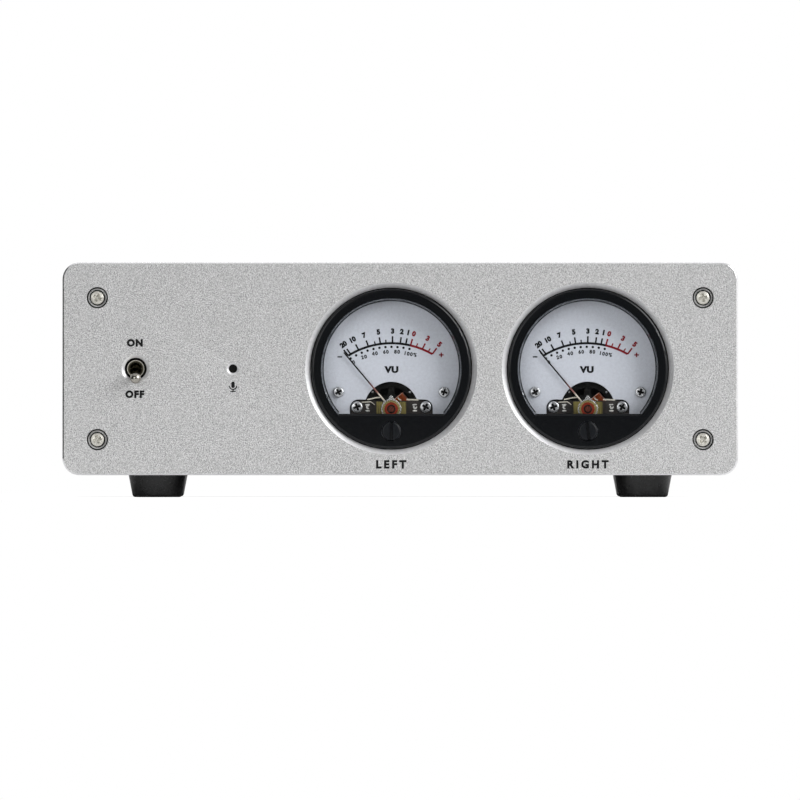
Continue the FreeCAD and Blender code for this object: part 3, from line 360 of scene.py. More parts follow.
def turned(profile, steps=96):
    """Points (x, y, height) and faces of a closed profile of (radius, height) turned about the axis.

    Point (i, j) is (r_i cos a_j, r_i sin a_j, h_i), with a_j = 2 pi j / steps.
    """
    radius, height = np.array(profile, float).T
    turn = np.linspace(0, 2 * np.pi, steps, endpoint=False)
    points = np.stack([np.outer(radius, np.cos(turn)), np.outer(radius, np.sin(turn)),
                       np.outer(height, np.ones(steps))], axis=-1)
    i, j = np.meshgrid(np.arange(len(profile)), np.arange(steps), indexing="ij")
    i2, j2 = (i + 1) % len(profile), (j + 1) % steps
    faces = np.stack([i * steps + j, i * steps + j2, i2 * steps + j2, i2 * steps + j], axis=-1)
    both_on_axis = (radius[i] < 1e-9) & (radius[i2] < 1e-9)
    return points.reshape(-1, 3), faces[~both_on_axis].reshape(-1, 4).tolist()


def rounded(profile, radius, steps=5):
    """The same closed profile with every corner off the axis made round.

    Each corner b between a and c becomes the quadratic curve (1-s)^2 p + 2 s (1-s) b + s^2 q,
    where p and q lie at the given radius from b, or nearer where a side is short.
    """
    result = []
    count = len(profile)
    for k, corner in enumerate(profile):
        b = np.array(corner, float)
        if b[0] < 1e-9:
            result.append(tuple(b))
            continue
        ends = []
        for other in (profile[k - 1], profile[(k + 1) % count]):
            side = np.array(other, float) - b
            length = np.linalg.norm(side)
            ends.append(b + side * min(radius, 0.45 * length) / length)
        for s in np.linspace(0, 1, steps):
            result.append(tuple((1 - s) ** 2 * ends[0] + 2 * s * (1 - s) * b + s ** 2 * ends[1]))
    return result


def screw_head(radius, height, dome, cut, shank, length, rows=30, steps=96):
    """A screw with its seat at height 0: a domed head, less the depth that cut(x, y) gives, and a shank.

    The top is height - dome (r / radius)^2, and its rim turns over in an arc of 0.2 of the radius.
    """
    rim = 0.2 * radius
    across = np.concatenate([np.linspace(0, radius - rim, rows),
                             radius - rim + rim * np.sin(np.linspace(0.2, np.pi / 2, 6))])
    drop = np.concatenate([np.zeros(rows), rim * (1 - np.cos(np.linspace(0.2, np.pi / 2, 6)))])
    top = height - dome * (across / radius) ** 2 - drop
    profile = list(zip(across, top)) + [(radius, 0.05), (radius - 0.05, 0), (shank, 0),
                                        (shank, -length), (0, -length)]
    points, faces = turned(profile, steps)
    head = points[:len(across) * steps]
    head[:, 2] -= cut(head[:, 0], head[:, 1])
    return points, faces


def cross_cut(half_width, half_span, depth, taper=0.22):
    """The depth of a cross recess: full inside two crossed bars, sloping up over taper at their sides."""
    def depth_at(x, y):
        first = np.maximum(np.abs(x) - half_span, np.abs(y) - half_width)
        second = np.maximum(np.abs(y) - half_span, np.abs(x) - half_width)
        inside = -np.minimum(first, second)
        return depth * np.clip(inside / taper, 0, 1)
    return depth_at


def slot_cut(half_width, half_span, depth, taper=0.08):
    """The depth of a straight driver slot, with sides that slope over taper."""
    def depth_at(x, y):
        inside = -np.maximum(np.abs(x) - half_width, np.abs(y) - half_span)
        return depth * np.clip(inside / taper, 0, 1)
    return depth_at


def facing(points, x=0.0, up=0.0, front=0.0, turn=0.0):
    """Moves points (right, up, towards the viewer), turned about their axis, to the object's frame.

    x and up are counted from the middle of the panel, front from its face, turn in degrees to the left.
    """
    points = np.asarray(points, float)
    angle = np.radians(turn)
    right = points[:, 0] * np.cos(angle) - points[:, 1] * np.sin(angle)
    high = points[:, 0] * np.sin(angle) + points[:, 1] * np.cos(angle)
    return np.stack([x + right, FRONT - front - points[:, 2], CENTRE + up + high], axis=1)


def gathered(parts):
    """One list of points and one of faces from several pairs of both."""
    points, faces, start = [], [], 0
    for some, theirs in parts:
        points.append(some)
        faces += [[start + number for number in face] for face in theirs]
        start += len(some)
    return np.concatenate(points), faces


COUNTERBORE, WASHER = 3.2, 0.5
HEAD_IN_SHADE = 2.35        # past this radius, a head's rim is painted near black: painted shade of its counterbore
DULL = {"Specular IOR Level": 0.2}
stainless = grained("stainless_steel_upset_and_tumbled", "#a3a19a", "#e9e7de", 0.3, 0.4, 0.3,
                    bump=0.02, spread=0.08)
corners = [(i, j) for i in (-1, 1) for j in (-1, 1)]
recess_turns = [20, 65, 40, 10]
# Matt zinc washers, their tone raised to near white: painted light that makes up for the shade at the bottom
# of the bores.
zinc_with_painted_light = grained("matt_zinc_washer_with_painted_light", "#f0f0ee", "#fcfcfa", 0.25, 0.0, 0.6, bump=0.004)
washer_ring = turned(rounded([(1.6, 0), (3.25, 0), (3.25, WASHER), (1.6, WASHER)], 0.12))
add_piece("panel_washer_set", *gathered([
    (facing(washer_ring[0], i * SCREW_ACROSS, j * SCREW_UP, -COUNTERBORE), washer_ring[1])
    for i, j in corners]), zinc_with_painted_light, "case", "screw_steel", ["panel_washers"])
pan_head = screw_head(2.75, 2.0, 0.7, cross_cut(0.5, 1.5, 1.0, 0.3), 1.5, 6.0)
panel_screws = add_piece("panel_screw_set", *gathered([
    (facing(pan_head[0], i * SCREW_ACROSS, j * SCREW_UP, WASHER - COUNTERBORE, turn), pan_head[1])
    for (i, j), turn in zip(corners, recess_turns)]), stainless, "case", "screw_steel", ["panel_screws"])
# Painted shade: near black for the parts of heads and screws that lie in shade.
painted_shade = grained("near_black_painted_shade", "#060606", "#101010", 0.3, 0.0, 0.5, bump=0.004, **DULL)
refinish(panel_screws, painted_shade, lambda normals, middles: (
    off_axis(middles, SCREW_ACROSS, SCREW_UP) > HEAD_IN_SHADE))


# ---- Toggle switch ------------------------------------------------------------------------
# A miniature toggle switch: a nickelled brass bushing, a chromed steel bat lever that rocks on a
# cross pin, and a red moulded case behind the panel, with silvered lugs. Its words are printed.

SWITCH_X = -93.2
chrome = grained("bright_chrome_plate", "#94918a", "#b8b4ab", 1.5, 1.0, 0.09, spread=0.03)
nickel = grained("satin_nickel_on_turned_brass", "#b0aca2", "#d3cfc4", 0.3, 1.0, 0.28,
                 bump=0.004, spread=0.06)


def radial(tree, place, x, up):
    """Millimetres from an axis towards the viewer, at x and up from the middle of the panel."""
    centred = add(tree, "ShaderNodeMapping", inputs={
        "Vector": place, "Location": (-x, 0, -(CENTRE + up)), "Scale": (1 / MM, 0, 1 / MM)})
    distance = add(tree, "ShaderNodeVectorMath", {"operation": "LENGTH"}, {0: centred.outputs[0]})
    return distance.outputs["Value"]


def ringed(name, x, up, reach, rings, metallic, roughness, **settings):
    """A finish in rings about such an axis: colours at distances in millimetres, up to the reach.

    Wear moves each ring inwards by up to 0.1 mm.
    """
    material, tree, skin, place = start_material(name, metallic, roughness, settings)
    wear = add(tree, "ShaderNodeTexNoise", inputs={"Vector": place, "Scale": 1 / (0.4 * MM)})
    moved = add(tree, "ShaderNodeMath", {"operation": "MULTIPLY_ADD"}, {
        0: wear.outputs["Fac"], 1: 0.1, 2: radial(tree, place, x, up)})
    outward = add(tree, "ShaderNodeMath", {"operation": "DIVIDE"}, {0: moved.outputs[0], 1: reach})
    ramp = add(tree, "ShaderNodeValToRGB", inputs={"Fac": outward.outputs[0]})
    stops = ramp.color_ramp.elements
    stops[0].position, stops[0].color = rings[0][0] / reach, linear(rings[0][1])
    stops[1].position, stops[1].color = rings[-1][0] / reach, linear(rings[-1][1])
    for distance, colour in rings[1:-1]:
        stops.new(distance / reach).color = linear(colour)
    tree.links.new(ramp.outputs["Color"], skin.inputs["Base Color"])
    return material


# The bushing's colour rings are painted light: its dark olive mouth is painted shade, the pale ring inside a
# painted reflection, and the pale ring at its rim a painted highlight.
softened("switch_bushing", "toggle_bushing", 0.12, ringed(
    "nickelled_bushing_with_painted_shade_and_highlights", SWITCH_X, 0, 6.0, [
        (0, "#6a6650"), (1.0, "#4d4a38"), (1.3, "#b0aa8c"), (1.6, "#3a3728"), (2.3, "#5c5845"),
        (2.78, "#37352a"), (2.86, "#d8d4c8")], 0.6, 0.35))
softened("switch_nut", "toggle_nut", 0.15, grained(
    "blackened_steel_nut", "#050505", "#0c0c0c", 0.5, 0.0, 0.6, bump=0.005, **DULL))
softened("switch_lever", "toggle_lever", 0.03, chrome)
finish(nodes["switch_pin"], nickel)
finish(nodes["switch_case"], grained(
    "red_moulded_phenolic", "#6e1511", "#8a1f19", 0.8, 0.0, 0.38, bump=0.01))
finish(nodes["switch_terminals"], grained(
    "tinned_brass_lug", "#b9b4a4", "#d6d3c8", 0.5, 1.0, 0.34, spread=0.06))


def letters(words, height, weight=0.0, spacing=1.0, thick=0.02):
    """Points and faces of a line of printed letters, millimetres, centred, with the given height."""
    curve = bpy.data.curves.new("letters", "FONT")
    curve.body = words
    curve.offset = weight
    curve.space_character = spacing
    curve.resolution_u = 4
    curve.extrude = 0.01
    holder = bpy.data.objects.new("letters", curve)
    bpy.context.scene.collection.objects.link(holder)
    mesh = bpy.data.meshes.new_from_object(holder.evaluated_get(bpy.context.evaluated_depsgraph_get()))
    flat = np.zeros(len(mesh.vertices) * 3)
    mesh.vertices.foreach_get("co", flat)
    points = flat.reshape(-1, 3)
    faces = [list(face.vertices) for face in mesh.polygons]
    bpy.data.objects.remove(holder)
    bpy.data.meshes.remove(mesh)
    low, high = points.min(axis=0), points.max(axis=0)
    points[:, :2] = (points[:, :2] - (low + high)[:2] / 2) * height / (high - low)[1]
    points[:, 2] = (points[:, 2] - low[2]) / (high - low)[2] * thick
    return points, faces


black_print = grained("black_screen_print_ink", "#070707", "#0e0e0f", 0.3, 0.0, 0.5, bump=0.003, **DULL)
SWITCH_WORD = 2.75
on_mark, off_mark = letters("ON", SWITCH_WORD, 0.07, 1.2), letters("OFF", SWITCH_WORD, 0.07, 1.22)
add_piece("switch_words", *gathered([
    (facing(on_mark[0], SWITCH_X - 0.3, 9.1), on_mark[1]),
    (facing(off_mark[0], SWITCH_X - 0.3, -9.0), off_mark[1])]), black_print, "case", "bezel_moulding")


# ---- Microphone ---------------------------------------------------------------------------
# An electret capsule in a soft rubber boot behind a small hole in the panel. Its face is black
# felt. A printed sign under the hole, a plain microphone, says what it is.

MIC_X = -58.9
felt = grained("black_acoustic_felt", "#060606", "#101010", 0.25, 0.0, 0.95, bump=0.05)
rubber = grained("soft_black_rubber", "#0b0b0b", "#151515", 0.6, 0.0, 0.8, bump=0.01)
finish(nodes["mic_boot"], rubber)
finish(nodes["mic_capsule"], grained(
    "drawn_aluminium_can", "#a8a9ab", "#c4c5c7", 0.5, 1.0, 0.3, spread=0.05))
felt_disc = turned([(0, 0), (4.6, 0), (4.6, 0.25), (0, 0.25)], 48)
add_piece("mic_felt", facing(felt_disc[0], MIC_X, 0, -2.3), felt_disc[1], felt, "case", "mic_rubber")


def flat_shape(outline, thick=0.02):
    """A thin solid from a closed outline of (right, up) points: its front, its back and its edge."""
    outline = np.array(outline, float)
    count = len(outline)
    points = np.concatenate([np.c_[outline, np.full(count, thick)], np.c_[outline, np.zeros(count)]])
    ring = np.arange(count)
    following = (ring + 1) % count
    sides = np.stack([ring, ring + count, following + count, following], axis=1).tolist()
    return points, [list(range(count)), list(range(2 * count - 1, count - 1, -1))] + sides


def band(inner, outer, start, end, centre=(0.0, 0.0), steps=48, thick=0.02):
    """A thin flat arc between two radii, from one angle to another, in degrees left of straight up."""
    turn = np.radians(np.linspace(start, end, steps))
    ring = [(centre[0] - r * np.sin(a), centre[1] + r * np.cos(a))
            for r, way in ((outer, turn), (inner, turn[::-1])) for a in way]
    points, faces = flat_shape(ring, thick)
    count = 2 * steps
    quads = [[k, k + 1, count - 2 - k, count - 1 - k] for k in range(steps - 1)]
    backs = [[count + n for n in reversed(quad)] for quad in quads]
    return points, quads + backs + faces[2:]


HEAD_RADIUS, HEAD_TOP, HEAD_FOOT = 0.62, 0.85, -0.2
half_turn = np.radians(np.linspace(0, 180, 16))
capsule = [(HEAD_RADIUS * np.cos(a), HEAD_TOP + HEAD_RADIUS * np.sin(a)) for a in half_turn]
capsule += [(-HEAD_RADIUS * np.cos(a), HEAD_FOOT - HEAD_RADIUS * np.sin(a)) for a in half_turn]
stand = [(-0.2, -1.3), (0.2, -1.3), (0.2, -1.9), (-0.2, -1.9)]
base = [(-0.95, -1.8), (0.95, -1.8), (0.95, -2.2), (-0.95, -2.2)]
add_piece("mic_sign", *gathered([
    (facing(points, MIC_X, -6.0), faces) for points, faces in (
        flat_shape(capsule), band(1.1, 1.5, 90, 270), flat_shape(stand), flat_shape(base))]),
    black_print, "case", "bezel_moulding")


# ---- Meter housings -----------------------------------------------------------------------
# Each meter is a round moulded head that fills a 57 mm hole in the panel: a black ring with a flat
# mask across its lower part, a clear acrylic pane, and a moulded can behind, clamped by a ring.

METERS = {side: float(np.mean([corner[0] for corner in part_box(f"{side}_bezel")])) / MM
          for side in ("left", "right")}
black_moulding = grained("black_abs_moulding", "#040608", "#07090d", 0.5, 0.0, 0.2, spread=0.03,
                         **{"Specular IOR Level": 0.35})
# Painted highlight: a lighter grey on the ring's inner edge, where it catches the light.
painted_edge_highlight = grained("ring_inner_edge_painted_highlight", "#2c2f34", "#34383d", 0.5, 0.0, 0.15, spread=0.03)
can_moulding = grained("black_phenolic_moulding", "#0a0a0b", "#121213", 0.6, 0.0, 0.5, bump=0.01)
turned_brass = grained("nickelled_brass_stud", "#a8935c", "#c4b078", 0.4, 1.0, 0.3, spread=0.05)

# The pane lets everything through but what it mirrors: a share that grows towards a grazing view.
acrylic, clear, pane, on_pane = start_material(
    "clear_acrylic_pane", 1.0, 0.02, {"Base Color": linear("#f4f8fa")})
smears = add(clear, "ShaderNodeTexNoise", inputs={"Vector": on_pane, "Scale": 60.0})
film = add(clear, "ShaderNodeMapRange", {}, {
    "Value": smears.outputs["Fac"], "To Min": 0.01, "To Max": 0.04})
clear.links.new(film.outputs[0], pane.inputs["Roughness"])
mirroring = add(clear, "ShaderNodeFresnel", inputs={"IOR": 1.49})
from_outside = add(clear, "ShaderNodeMapRange", {}, {
    "Value": add(clear, "ShaderNodeNewGeometry").outputs["Backfacing"], "To Min": 0.6, "To Max": 0.0})
mirrored_share = add(clear, "ShaderNodeMath", {"operation": "MULTIPLY"}, {
    0: mirroring.outputs[0], 1: from_outside.outputs[0]})
clear.links.new(mirrored_share.outputs[0], pane.inputs["Alpha"])

RING_INSIDE, RING_EDGE = 24.45, 0.45        # radius of the ring's inner edge, and its reach either way

for side in METERS:
    ring = softened(f"{side}_bezel", f"{side}_meter_ring", 0.05, black_moulding, angle=30.0, merged=False)
    # The ring's inner edge gets the painted highlight.
    refinish(ring, painted_edge_highlight, lambda normals, middles: (np.abs(normals[:, 1]) < 0.6) & (np.abs(
        np.hypot(middles[:, 0] - METERS[side], middles[:, 2] - CENTRE) - RING_INSIDE) < RING_EDGE))
    finish(nodes[f"{side}_lens"], acrylic)
    finish(nodes[f"{side}_can"], can_moulding)
    finish(nodes[f"{side}_clamp_ring"], can_moulding)
    finish(nodes[f"{side}_terminals"], turned_brass)

for side, word in (("left", "LEFT"), ("right", "RIGHT")):
    label = letters(word, 3.0, 0.055, 1.5)
    add_piece(f"{side}_meter_word", facing(label[0], METERS[side], -33.7), label[1],
              black_print, "case", "bezel_moulding")


# ---- Dial plates --------------------------------------------------------------------------
# A stamped aluminium plate in satin grey-white paint, with the level scale printed in black and
# dark red. The window's punched edge is rounded and painted too. Two small screws hold it.

PIVOT = -14.2
ARC_RADIUS, ARC_DROP = 28.77, 5.58      # the scale's arc, and how far its centre is below the pivot
DIAL = -8.5
NUMBER_HEIGHT, NUMBER_OUT = 1.98, 4.3   # of the level's numbers: their height and place outside the arc
DOT_RADIUS, DOT_IN, PERCENT_IN = 0.45, 1.28, 2.95       # of the percent scale inside the arc
dial_paint = grained("satin_grey_white_enamel", "#b8bcc5", "#c3c8d1", 0.9, 0.0, 0.42,
                     bump=0.002, spread=0.05)
dial_black = grained("black_dial_ink", "#060609", "#0c0c10", 0.3, 0.0, 0.5, bump=0.001, **DULL)
dial_red = grained("dark_red_dial_ink", "#760f1a", "#861420", 0.3, 0.0, 0.5, bump=0.001, **DULL)

# name, degrees left of straight up, length of the tick and its width
BLACK_TICKS = [
    ("", 39.0, 2.6, 0.6), ("20", 36.7, 2.3, 0.58), ("10", 29.1, 2.3, 0.58), ("7", 20.3, 2.3, 0.58),
    ("", 14.2, 1.3, 0.46), ("5", 9.7, 2.4, 0.58), ("", 4.8, 1.3, 0.46), ("3", -0.8, 2.5, 0.58),
    ("2", -7.6, 2.3, 0.58), ("1", -12.4, 2.2, 0.58)]
RED_TICKS = [
    ("0", -16.6, 2.4, 0.58), ("", -21.7, 1.4, 0.46), ("3", -27.2, 2.3, 0.58), ("", -32.6, 1.4, 0.46),
    ("5", -36.6, 2.6, 0.6)]


def out_to(arc, degrees):
    """How far the arc of that radius is from the pivot: sqrt(R^2 - (e sin a)^2) - e cos a."""
    a = math.radians(degrees)
    return math.sqrt(arc ** 2 - (ARC_DROP * math.sin(a)) ** 2) - ARC_DROP * math.cos(a)


def on_dial(shape, degrees, distance, share=1.0):
    """A flat shape moved out from the pivot at an angle, and turned by a share of that angle."""
    a = math.radians(degrees)
    points = facing(shape[0], -distance * math.sin(a), PIVOT + distance * math.cos(a), DIAL, share * degrees)
    return points, shape[1]


def ticks(marks):
    """The ticks of a list and the numbers at their outer ends."""
    parts = []
    for name, degrees, length, width in marks:
        stroke = [(-width / 2, 0), (-width / 2, length), (width / 2, length), (width / 2, 0)]
        parts.append(on_dial(flat_shape(stroke), degrees, out_to(ARC_RADIUS, degrees)))
        if name:
            number = letters(name, NUMBER_HEIGHT, 0.075)
            parts.append(on_dial(number, degrees, out_to(ARC_RADIUS, degrees) + NUMBER_OUT))
    return parts


ARC_WIDTH = 0.8
first, zero, last = BLACK_TICKS[0][1], RED_TICKS[0][1], RED_TICKS[-1][1]


def arc_angle(degrees):
    """The angle about the arc's own centre of the point that lies at an angle about the pivot."""
    distance, a = out_to(ARC_RADIUS, degrees), math.radians(degrees)
    return math.degrees(math.atan2(distance * math.sin(a), ARC_DROP + distance * math.cos(a)))


def scale_arc(start, end):
    """The stretch of the scale's arc between two angles about the pivot."""
    points, faces = band(ARC_RADIUS - ARC_WIDTH / 2, ARC_RADIUS + ARC_WIDTH / 2,
                         arc_angle(start), arc_angle(end), (0.0, -ARC_DROP), 64)
    return facing(points, 0, PIVOT, DIAL), faces


dots = [first + number * (zero - first) / 10 for number in range(11)]
dot = flat_shape([(DOT_RADIUS * math.cos(a), DOT_RADIUS * math.sin(a))
                  for a in np.radians(np.arange(0, 360, 30))])
percent = []
for number, degrees in enumerate(dots):
    percent.append(on_dial(dot, degrees, out_to(ARC_RADIUS - DOT_IN, degrees)))
    if number % 2 == 0:
        name = "100%" if number == 10 else str(10 * number)
        lean = degrees - (2.6 if number == 10 else 0)
        mark = letters(name, 1.4, 0.055, 1.3)
        percent.append(on_dial(mark, lean, out_to(ARC_RADIUS - PERCENT_IN, lean), 0.5))
minus = flat_shape([(-0.82, -0.23), (-0.82, 0.23), (0.82, 0.23), (0.82, -0.23)])
plus_bar = flat_shape([(-0.23, -0.82), (-0.23, 0.82), (0.23, 0.82), (0.23, -0.82)])
unit = letters("VU", 2.45, 0.07, 1.12)
unit[0][:, 0] *= 1.14
black_marks = ticks(BLACK_TICKS) + percent + [
    scale_arc(first, zero), on_dial(minus, 44.8, 25.9, 0), on_dial(unit, 0.3, 13.9, 0)]
red_marks = ticks(RED_TICKS) + [scale_arc(zero, last), on_dial(minus, -42.6, 25.9, 0),
                                on_dial(plus_bar, -42.6, 25.9, 0)]


def shifted(shape, x):
    """The same shape moved to the right by x."""
    return shape[0] + np.array([x, 0, 0]), shape[1]


small_head = screw_head(1.9, 1.1, 0.25, cross_cut(0.4, 1.2, 0.9, 0.12), 0.9, 4.0, 28, 72)
zinc = grained("zinc_plated_screw", "#a9acaf", "#dadcde", 0.3, 0.8, 0.26, bump=0.003, spread=0.08)
PRINT_SHIFT = {"left": 0.1, "right": -0.35}     # how far each print sits to the right of the middle
SEAT_IN_SHADE = 0.62        # so near to its seat, a small head is painted near black: painted shade
dial_screws = []
for side, x in METERS.items():
    softened(f"{side}_dial_plate", f"{side}_dial", 0.18, dial_paint, segments=3)
    printed_at = x + PRINT_SHIFT[side]
    add_piece(f"{side}_dial_black_print", *shifted(gathered(black_marks), printed_at),
              dial_black, "case", "dial_paint")
    # A black ring round the plate's edge, in dial ink: painted shade for the gap between plate and can.
    painted_shade_line = band(23.85, 24.35, -130, 130, steps=128)
    add_piece(f"{side}_dial_painted_edge_shade", facing(painted_shade_line[0], x, 0, DIAL), painted_shade_line[1],
              dial_black, "case", "dial_paint")
    add_piece(f"{side}_dial_red_print", *shifted(gathered(red_marks), printed_at),
              dial_red, "case", "dial_paint")
    for way, turn in ((-1, 30), (1, 75)):
        dial_screws.append((facing(small_head[0], x + way * 18.6, -8.25, DIAL, turn), small_head[1]))
dial_screw_set = add_piece("dial_screw_set", *gathered(dial_screws),
                           zinc, "case", "screw_steel", ["dial_screws"])
refinish(dial_screw_set, painted_shade, lambda normals, middles: middles[:, 1] > FRONT - DIAL - SEAT_IN_SHADE)


# ---- Meter movements ----------------------------------------------------------------------
# The moving-coil works in each dial's window: a dark laminate bar, a rolled brass bracket with a
# copper-red bearing screw, the bright zero lever, and a copper coil that carries the pointer.

BAR, POINTER = -8.8, -7.5
laminate = grained("brown_phenolic_laminate", "#15110f", "#241c18", 0.35, 0.0, 0.5, bump=0.01, spread=0.1)
# The strip's drawing lines are real, but finer than these.
brass = grained("drawn_brass_strip", "#15130a", "#94894f", 0.42, 0.6, 0.34, bump=0.02, spread=0.1,
                stretch=(1, 1, 0.04))
boss_brass = grained("turned_brass_boss", "#746c42", "#a89f6e", 0.5, 0.7, 0.3, bump=0.005, spread=0.08)
bright_aluminium = grained("bright_punched_aluminium", "#cfd0d0", "#ececea", 0.3, 1.0, 0.26, spread=0.06)
black_iron = grained("black_phosphated_iron", "#050605", "#0c0e0c", 0.5, 0.0, 0.6, bump=0.01, **DULL)
spring_bronze = grained("bronze_hairspring_strip", "#a2773c", "#c99a58", 0.5, 1.0, 0.25, spread=0.05)
# Painted highlight: a lighter copper on the winding's right end and upper side, towards the lamps.
copper_wire_highlight = grained("copper_wire_painted_highlight", "#b5806e", "#dcae9c", 0.4, 0.5, 0.35, bump=0.005)
solder = grained("tin_lead_solder", "#b0b0ae", "#f4f4f0", 0.7, 0.4, 0.25, bump=0.05, spread=0.1)
silvered = grained("silvered_copper_ribbon", "#b3ae9f", "#f0ede2", 0.5, 0.4, 0.3, bump=0.01, spread=0.08)

enamel_wire, wire, enamel, on_wire = start_material("enamelled_copper_winding", 0.9, 0.32)
wire_noise = add(wire, "ShaderNodeTexNoise", inputs={"Vector": on_wire, "Scale": 1 / (0.6 * MM)})
wire_tone = add(wire, "ShaderNodeMix", {"data_type": "RGBA"}, {
    0: wire_noise.outputs["Fac"], 6: linear("#6e2a16"), 7: linear("#a8572f")})
wire.links.new(wire_tone.outputs[2], enamel.inputs["Base Color"])


def swept(route, half_wide, half_deep, closed=False):
    """A flat strip carried along a route of (right, up, towards viewer) points.

    At each point the strip is square to the route's direction in the plane of the dial, and its
    four corners are route +- half_wide * side +- half_deep * towards the viewer.
    """
    route = np.array(route, float)
    ahead = np.roll(route, -1, axis=0) - np.roll(route, 1, axis=0)
    if not closed:
        ahead[0], ahead[-1] = route[1] - route[0], route[-1] - route[-2]
    side = np.stack([-ahead[:, 1], ahead[:, 0], np.zeros(len(route))], axis=1)
    side /= np.linalg.norm(side, axis=1, keepdims=True)
    toward = np.array([0, 0, half_deep])
    points = np.stack([route + side * half_wide + toward, route - side * half_wide + toward,
                       route - side * half_wide - toward, route + side * half_wide - toward], axis=1)
    last_row = len(route) if closed else len(route) - 1
    faces = [[4 * (k % len(route)) + c, 4 * (k % len(route)) + (c + 1) % 4,
              4 * ((k + 1) % len(route)) + (c + 1) % 4, 4 * ((k + 1) % len(route)) + c]
             for k in range(last_row) for c in range(4)]
    if not closed:
        end = 4 * (len(route) - 1)
        faces += [[3, 2, 1, 0], [end, end + 1, end + 2, end + 3]]
    return points.reshape(-1, 3), faces


WIRE_RIDGE = 0.12


def wound_coil(reach, half_width, front, back, corner=0.8, thick=1.0, turns=9, steps=14):
    """A rectangular winding: ridges of wire carried round a loop with rounded corners.

    The loop lies in the plane of right and depth. Across it, at a share s of its width, each face
    stands off by thick / 2 - WIRE_RIDGE (1 - |sin(pi turns s)|), so each wire is a round ridge.
    """
    middle, half_deep = (front + back) / 2, abs(front - back) / 2 - thick / 2
    half_reach = reach - thick / 2
    loop = []
    for number, (cx, cy) in enumerate(((1, 1), (-1, 1), (-1, -1), (1, -1))):
        turn = np.radians(np.linspace(90 * number, 90 * number + 90, steps))
        loop.append(np.c_[cx * (half_reach - corner) + corner * np.cos(turn),
                          cy * (half_deep - corner) + corner * np.sin(turn)])
    loop = np.concatenate(loop)
    normal = np.roll(loop, -1, axis=0) - np.roll(loop, 1, axis=0)
    normal = np.stack([normal[:, 1], -normal[:, 0]], axis=1)
    normal /= np.linalg.norm(normal, axis=1, keepdims=True)
    samples = 6 * turns
    across = np.linspace(-half_width, half_width, samples)
    ridge = WIRE_RIDGE * np.abs(np.sin(np.linspace(0, np.pi * turns, samples)))
    height = np.concatenate([thick / 2 - WIRE_RIDGE + ridge, -(thick / 2 - WIRE_RIDGE + ridge[::-1])])
    width = np.concatenate([across, across[::-1]])
    ring = loop[:, None, :] + normal[:, None, :] * height[None, :, None]
    points = np.stack([ring[..., 0], np.broadcast_to(width, ring.shape[:2]), ring[..., 1] + middle], axis=-1)
    rows, columns = ring.shape[:2]
    i, j = np.meshgrid(np.arange(rows), np.arange(columns), indexing="ij")
    i2, j2 = (i + 1) % rows, (j + 1) % columns
    faces = np.stack([i * columns + j, i2 * columns + j, i2 * columns + j2, i * columns + j2], axis=-1)
    return points.reshape(-1, 3), faces.reshape(-1, 4).tolist()


def rod(radius, top, length, x=0.0, up=0.0, ease=0.08):
    """A round rod towards the viewer, from height top down by a length, with eased ends."""
    profile = [(0, top), (0, top - length), (radius, top - length), (radius, top)]
    points, faces = turned(rounded(profile, ease), 32)
    return points + np.array([x, up, 0]), faces


def tapered_needle(start, end, first, last, depth, steps=16):
    """A round rod along the up direction whose radius goes evenly from first to last."""
    turn = np.linspace(0, 2 * np.pi, steps, endpoint=False)
    rows = [(start, 0.0), (start, first), (end, last), (end, 0.0)]
    points = np.concatenate([np.c_[r * np.cos(turn), np.full(steps, up), depth + r * np.sin(turn)]
                             for up, r in rows])
    faces = [[k * steps + j, k * steps + (j + 1) % steps,
              (k + 1) * steps + (j + 1) % steps, (k + 1) * steps + j]
             for k in range(len(rows) - 1) for j in range(steps)]
    return points, faces


LEAN = 40.0             # the pointer's rest, in degrees left of straight up
# The bearing screw's colours by radius; the near-black ring from 1.05 to 1.55 mm is painted shade, where the
# head meets its collar.
JEWEL_RINGS_AND_PAINTED_SHADE = [(0, "#5c2a1e"), (0.95, "#6a3527"), (1.05, "#140503"), (1.55, "#140503"),
               (1.68, "#8c341e"), (2.5, "#7c2412")]
NEEDLE_RINGS = [(0, "#d9d2c4"), (6.8, "#c9c2b6"), (7.8, "#8a5f58"), (11.4, "#5e3d3c"), (13.0, "#09090b")]
HIGHLIGHT_RIGHT, HIGHLIGHT_UPPER = 6.5, 1.8       # where the winding's painted highlight starts, from the pivot


def at_pivot(shape, x, turn=0.0):
    """A shape about the pivot of the meter at x, turned to the left."""
    return facing(shape[0], x, PIVOT, 0.0, turn), shape[1]


def highlighted_faces(middles, x):
    """Which faces of the winding at x are past its right end or its upper side, where a highlight is
    painted.
    """
    lean = math.radians(LEAN)
    across, high = middles[:, 0] - x, middles[:, 2] - CENTRE - PIVOT
    right = across * math.cos(lean) + high * math.sin(lean)
    upper = high * math.cos(lean) - across * math.sin(lean)
    return (right > HIGHLIGHT_RIGHT) | (upper > HIGHLIGHT_UPPER)


def uncut(right, high):
    """The depth of no recess at all."""
    return 0 * right


